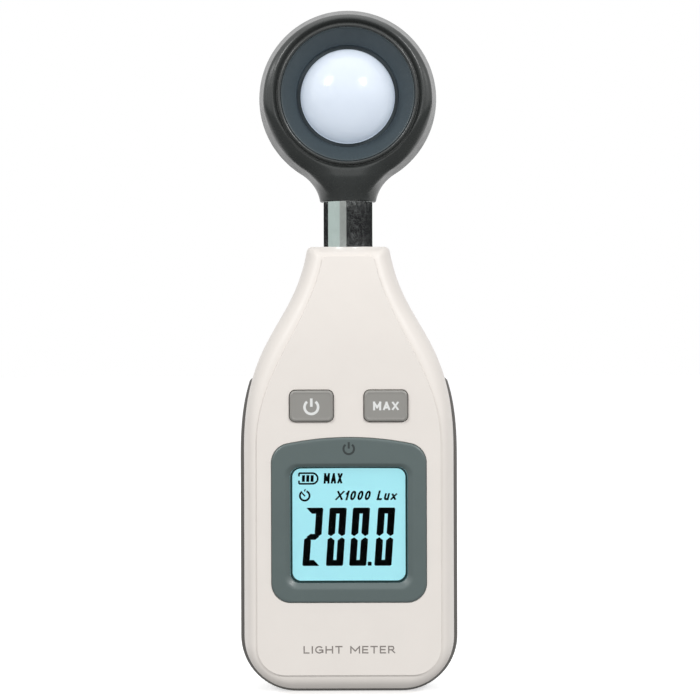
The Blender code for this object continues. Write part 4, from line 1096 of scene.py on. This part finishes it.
def head_seam():
    """The thin tongue between the head's shells, which closes the gap along their parting."""
    turns = np.radians(np.linspace(-75.4, 255.4, 240))
    across, up = np.cos(turns), np.sin(turns)
    sides = []
    for inset in (0.4, 1.3):
        near, far = np.zeros_like(turns), np.full_like(turns, 40.0)
        for _ in range(30):
            middle = (near + far) / 2
            inside = silhouette_depth(middle * across, HEAD_Z + middle * up) > inset
            near, far = np.where(inside, middle, near), np.where(inside, far, middle)
        sides.append(list(zip(near * across, HEAD_Z + near * up)))
    low, high = HEAD_PARTING - GAP / 2, HEAD_PARTING + GAP / 2
    rings = [[(outer[0], low, outer[1]), (outer[0], high, outer[1]), (inner[0], high, inner[1]),
              (inner[0], low, inner[1])] for outer, inner in zip(*sides)]
    dress(shaped("head_tongue", capped, rings), "sensor_head", "head_plastic")


def shade_as(mesh, field):
    """Shade a mesh as the smooth surface of its field. Its cut faces keep their own shading."""
    points = np.array([vertex.co for vertex in mesh.vertices]) / MM
    slope = gradient(field, points)
    slope /= np.maximum(np.linalg.norm(slope, axis=1), 1e-9)[:, None]
    on_form = np.abs(field(points)) < 0.03
    normals = [corner.vector.copy() for corner in mesh.corner_normals]
    for face in mesh.polygons:
        own = list(face.vertices)
        if on_form[own].all() and (slope[own] @ np.array(face.normal)).min() > 0.5:
            for corner, vertex in zip(face.loop_indices, own):
                normals[corner] = Vector(slope[vertex])
    mesh.normals_split_custom_set(normals)


def gradient(field, points):
    step = 0.01
    found = np.zeros_like(points)
    for axis in range(3):
        shift = np.zeros(3)
        shift[axis] = step
        found[:, axis] = (field(points + shift) - field(points - shift)) / (2 * step)
    return found


def settle(field, points, rounds=3):
    """Move points onto the surface where the field is zero."""
    for _ in range(rounds):
        slope = gradient(field, points)
        size = np.maximum((slope ** 2).sum(1), 1e-6)
        points = points - slope * (field(points) / size)[:, None]
    return points


def surface(bm, field, low, high, cell):
    """A closed mesh of the surface where the field is zero, one point to each grid cell it crosses."""
    counts = [int(math.ceil((b - a) / cell)) + 1 for a, b in zip(low, high)]
    axes = [a + cell * np.arange(n) for a, n in zip(low, counts)]
    grid = np.stack(np.meshgrid(*axes, indexing="ij"), -1).reshape(-1, 3)
    inside = (field(grid) < 0).reshape(counts)
    filled = np.zeros([n - 1 for n in counts], int)
    for i, j, k in product((0, 1), repeat=3):
        filled += inside[i:counts[0] - 1 + i, j:counts[1] - 1 + j, k:counts[2] - 1 + k]
    crossed = (filled > 0) & (filled < 8)
    number = np.full(crossed.shape, -1)
    number[crossed] = np.arange(crossed.sum())
    points = np.argwhere(crossed) * cell + np.array(low) + cell / 2
    quads = []
    for axis in range(3):
        first = np.moveaxis(inside, axis, 0)
        at = np.argwhere(np.moveaxis(first[1:] != first[:-1], 0, axis))
        u, v = (np.eye(3, dtype=int)[other] for other in range(3) if other != axis)
        corners = [at, at - u, at - u - v, at - v]
        quads.append(np.stack([number[tuple(c.T)] for c in corners], 1))
    quads = np.concatenate(quads)
    points = settle(field, points)
    edges = np.concatenate([quads[:, [i, (i + 1) % 4]] for i in range(4)])
    edges = np.concatenate([edges, edges[:, ::-1]])
    degree = np.bincount(edges[:, 0], minlength=len(points))[:, None]
    for _ in range(6):
        total = np.zeros_like(points)
        np.add.at(total, edges[:, 0], points[edges[:, 1]])
        points = settle(field, points * 0.4 + total / degree * 0.6, 2)
    verts = [bm.verts.new(p) for p in points]
    for quad in quads:
        bm.faces.new([verts[i] for i in quad])


def head_form():
    """The head's outer form as one closed solid.

    Another start of the grid can leave edges with four faces.
    """
    low = (HEAD_LOW.x - 1.3, FRONT_PLANE - 1.22, STEM_BOTTOM - 1.1)
    high = (HEAD_HIGH.x + 1.3, 14.4, HEAD_HIGH.z + 1.3)
    return shaped("head_form", surface, head_field, low, high, HEAD_CELL)


def mouth_lip(center):
    """The rounded lip round the mouth, which sits on the front shell."""
    crest = HEAD_LOW.y
    lip = [(MOUTH_R, -6.0), (MOUTH_R, crest + 0.4)]
    lip += arc((MOUTH_R + 0.4, crest + 0.4), 0.4, 195, 330, 9)
    lip += [(MOUTH_R + 0.87, FRONT_PLANE + 0.3), (MOUTH_R + 0.95, FRONT_PLANE + 0.9), (MOUTH_R + 0.95, -6.0)]
    ring = shaped("mouth_lip", turned, lip, center, ALONG_Y, 160, True)
    dress(ring, "sensor_head", "head_plastic", sharp=50.0)


def head_rods(name, start, end, radius):
    """One round solid at each of the head's two screws."""
    return [rod(name, x, HEAD_Z, start, end, radius) for x in (-SCREW_X, SCREW_X)]


def head_shells():
    """Front and rear shells of the head: one rounded form with its lip, hollowed and split."""
    center = (0, 0, HEAD_Z)
    whole = head_form()
    mouth_lip(center)
    hollow = [(0.0, -7.0), (15.2, -7.0), (15.2, -6.7), (16.9, -6.4), (19.0, -3.0), (19.5, 0.5), (19.5, 4.5),
              (18.2, 8.4), (14.5, 10.9), (0.0, 10.9)]
    mouth = [(0.0, -12.0), (MOUTH_R + 0.5, -12.0), (MOUTH_R + 0.5, -6.2), (0.0, -6.2)]
    combine(whole, [shaped("hollow", turned, hollow, center, ALONG_Y, 64),
                    shaped("mouth", turned, mouth, center, ALONG_Y, 128)])
    combine(whole, head_rods("boss", HEAD_PARTING - 3, 11.2, 2.9), "UNION")
    below = (0, 0, STEM_BOTTOM - 1)
    combine(whole, [shaped("socket", cylinder, below, (0, 0, 127.0), 5.6, 64),
                    shaped("seat", cylinder, below, (0, 0, STEM_BOTTOM + 0.5), TUBE_HIGH.x + 0.02, 128)])
    rear = bpy.data.objects.new("head_rear_form", whole.data.copy())
    bpy.context.collection.objects.link(rear)
    beyond = 30.0
    for target, start, end in ((whole, -beyond, HEAD_PARTING - GAP / 2),
                               (rear, HEAD_PARTING + GAP / 2, beyond)):
        combine(target, [shaped("keep", block, (-beyond, start, 110), (beyond, end, 175))], "INTERSECT")
    for target, start, end, radius in ((whole, -2.0, 5.0, 0.95), (rear, 0.0, 9.0, 1.05),
                                       (rear, HEAD_SEAT, 15.0, 2.1)):
        combine(target, head_rods("bore", start, end, radius))
    dress(whole, "sensor_head", "head_plastic", ["head_front_shell"], form=head_field)
    dress(rear, "sensor_head", "head_plastic", ["head_rear_shell"], form=head_field)


def dome_line(radius, base, height, step):
    """Points up an elliptical dome from its rim, without the one at its top."""
    turns = [math.radians(turn) for turn in range(0, 90, step)]
    return [(radius * math.cos(a), base - height * math.sin(a)) for a in turns]


def sensor():
    """The conical dish and the hollow dome in its middle."""
    center = (0, 0, HEAD_Z)
    outer = MOUTH_R - 0.04
    dish_line = [(outer, -5.6), (outer, -8.7), (outer - 0.3, -8.7), (12.45, -4.8), (12.35, -3.4),
                 (11.45, -3.35), (11.45, -3.0), (13.0, -3.0), (15.6, -5.6), (outer, -5.6)]
    profile = softened(dish_line, (0.1, 0.3, 0.25, 0.2, 0.05, 0.05, 0.2, 0.1), 5)[:-1]
    dish = shaped("dish_cone", turned, profile, center, ALONG_Y, 128, True)
    dress(dish, "sensor_head", "dish_plastic", ["sensor_dish"])
    profile = [(0.0, -13.0)] + dome_line(11.3, -4.0, 9.0, 3)[::-1]
    profile += [(11.3, -2.7), (12.7, -2.7), (12.7, -1.7), (10.2, -1.7)]
    profile += dome_line(10.2, -3.6, 8.0, 5) + [(0.0, -11.6)]
    dome = shaped("dome", turned, profile, center, ALONG_Y, 128)
    dress(dome, "sensor_head", "opal_plastic", ["diffuser_dome"], sharp=50.0)


# Battery bay


def battery_cell(index, x, up):
    """A cell with a crimped shoulder and a positive nub."""
    low, high = box_mm(f"battery_{index}")
    radius = high.x - x
    length = high.z - low.z
    line = [(0.0, 0.0), (1.9, 0.0), (1.9, -0.95), (radius - 0.75, -1.0), (radius - 0.7, -1.15),
            (radius, -1.3), (radius, -length + 0.25), (radius - 0.5, -length), (0.0, -length)]
    profile = softened(line, (0.3, 0.15, 0.1, 0.1, 0.4, 0.4, 0.3), 4)
    nub = (x, CELL_Y, high.z if up > 0 else low.z)
    made = shaped(f"cell_{index}", turned, profile, nub, (0, 0, up), 64)
    dress(made, "root", "cell_sleeve", [f"battery_{index}"])


def spring(index, x, up):
    """A conical spring, whose narrow end bears on the cell."""
    low, high = box_mm(f"battery_spring_{index}")
    wire = 0.3
    start, end = (low.z + wire, high.z - wire) if up > 0 else (high.z - wire, low.z + wire)
    steps = 96
    route = []
    for i in range(steps + 1):
        share = i / steps
        angle = math.tau * 3.0 * share
        radius = 3.6 - 1.4 * share
        route.append((x + radius * math.cos(angle), CELL_Y + radius * math.sin(angle),
                      start + (end - start) * share))
    coil = shaped(f"coil_{index}", tube, route, wire * 0.9, 10)
    dress(coil, "root", "plated_steel", [f"battery_spring_{index}"])


def cells():
    """Three cells side by side, the middle one the other way up, and their springs."""
    for index, up in ((1, 1), (2, -1), (3, 1)):
        x = (index - 2) * CELL_PITCH
        battery_cell(index, x, up)
        spring(index, x, up)


def dress_cad_nodes():
    """Every CAD node that still shows gets its slot's material."""
    slot_of = {row["node"]: row["material_slot"] for row in frame["record"]["subparts"]}
    for name, node in frame["nodes"].items():
        node.data.materials.clear()
        node.data.materials.append(LOOKS[slot_of[name]])


# Stage, lights and camera


def stage_piece(name, bm, color, glow=0.0):
    look = Look(f"{name}_paint", color, 0.9, emission_strength=glow, emission_color=(*color, 1.0))
    look.colored(400.0, 0.01)
    look.roughened(50.0, 0.02)
    made = solid(name, bm)
    made.data.materials.append(look.material)
    return made


def stage():
    """The pale floor, and screens that only reflections see."""
    bm = bmesh.new()
    bmesh.ops.create_circle(bm, cap_ends=True, segments=96, radius=6000.0)
    floor = stage_piece("floor", bm, (0.92, 0.92, 0.92), 0.6)
    floor.visible_diffuse = False
    floor.visible_glossy = False
    floor.visible_transmission = False
    for name, start, end, low, high, color, glow in SCREENS:
        bm = bmesh.new()
        ring = arc((0, 0), SCREEN_R, start - 90.0, end - 90.0, 48)
        verts = [[bm.verts.new((x, y, z)) for x, y in ring] for z in (low, high)]
        for i in range(len(ring) - 1):
            bm.faces.new((verts[0][i], verts[0][i + 1], verts[1][i + 1], verts[1][i]))
        only_reflected(stage_piece(name, bm, color, glow))
    bm = bmesh.new()
    bmesh.ops.create_circle(bm, cap_ends=True, segments=96, radius=SCREEN_R)
    bmesh.ops.translate(bm, verts=bm.verts, vec=(0, 0, SCREEN_LOW))
    only_reflected(stage_piece("low_screen", bm, (0.1, 0.1, 0.1)))


def only_reflected(piece):
    piece.visible_camera = False
    piece.visible_diffuse = False
    piece.visible_shadow = False


def world():
    made = bpy.data.worlds.new("studio")
    bpy.context.scene.world = made
    made.use_nodes = True
    nodes, links = made.node_tree.nodes, made.node_tree.links
    background = nodes["Background"]
    diffuse = nodes.new("ShaderNodeLightPath").outputs["Is Diffuse Ray"]
    strength = nodes.new("ShaderNodeMapRange")
    strength.inputs["To Min"].default_value = 1.0
    strength.inputs["To Max"].default_value = AMBIENT
    links.new(diffuse, strength.inputs["Value"])
    links.new(strength.outputs["Result"], background.inputs["Strength"])
    background.inputs["Color"].default_value = (1.0, 1.0, 1.0, 1.0)


def softbox(name, direction, distance, size, power):
    """A square area light that faces the middle of the meter from a direction."""
    target = Vector((0.0, 0.0, 0.1))
    light = bpy.data.lights.new(name, "AREA")
    light.shape = "SQUARE"
    light.size = size
    light.energy = power
    made = bpy.data.objects.new(name, light)
    bpy.context.collection.objects.link(made)
    away = Vector(direction).normalized()
    made.location = target + away * distance
    made.rotation_euler = away.to_track_quat("Z", "Y").to_euler()


def lights():
    softbox("key_right", (0.49, -0.72, 0.49), 1.2, 0.22, 5.4)
    softbox("key_left", (-0.6, -0.62, 0.52), 1.2, 0.3, 4.6)
    softbox("overhead", (0.0, 0.1, 1.0), 1.6, 1.6, 4.0)
    bpy.context.scene.view_settings.view_transform = "Standard"


def camera():
    lens = bpy.data.cameras.new("camera")
    lens.lens = 109.5
    lens.sensor_width = 36.0
    lens.clip_start = 0.01
    lens.clip_end = 20.0
    made = bpy.data.objects.new("camera", lens)
    bpy.context.collection.objects.link(made)
    made.location = CAMERA_PLACE
    made.rotation_euler = (math.radians(90.0), math.radians(CAMERA_ROLL), 0.0)
    bpy.context.scene.camera = made


def build():
    dress_cad_nodes()
    front_cover()
    rear_cover()
    battery_door()
    rating_plate()
    for i, (x, z) in enumerate(CASE_SCREWS):
        screw(f"case_screw_{i + 1}", x, z, CASE_SEAT + GAP, 2.0, 11.4, "root")
    for i, x in enumerate((-SCREW_X, SCREW_X)):
        screw(f"head_screw_{i + 1}", x, HEAD_Z, HEAD_SEAT + GAP, 1.7, 9.6, "sensor_head")
    lcd_bezel()
    lcd_window()
    lcd_marks()
    button("power", -1)
    button("max", 1)
    case_print()
    neck_tube()
    head_shells()
    head_seam()
    sensor()
    cells()
    stage()
    world()
    lights()
    camera()


build()
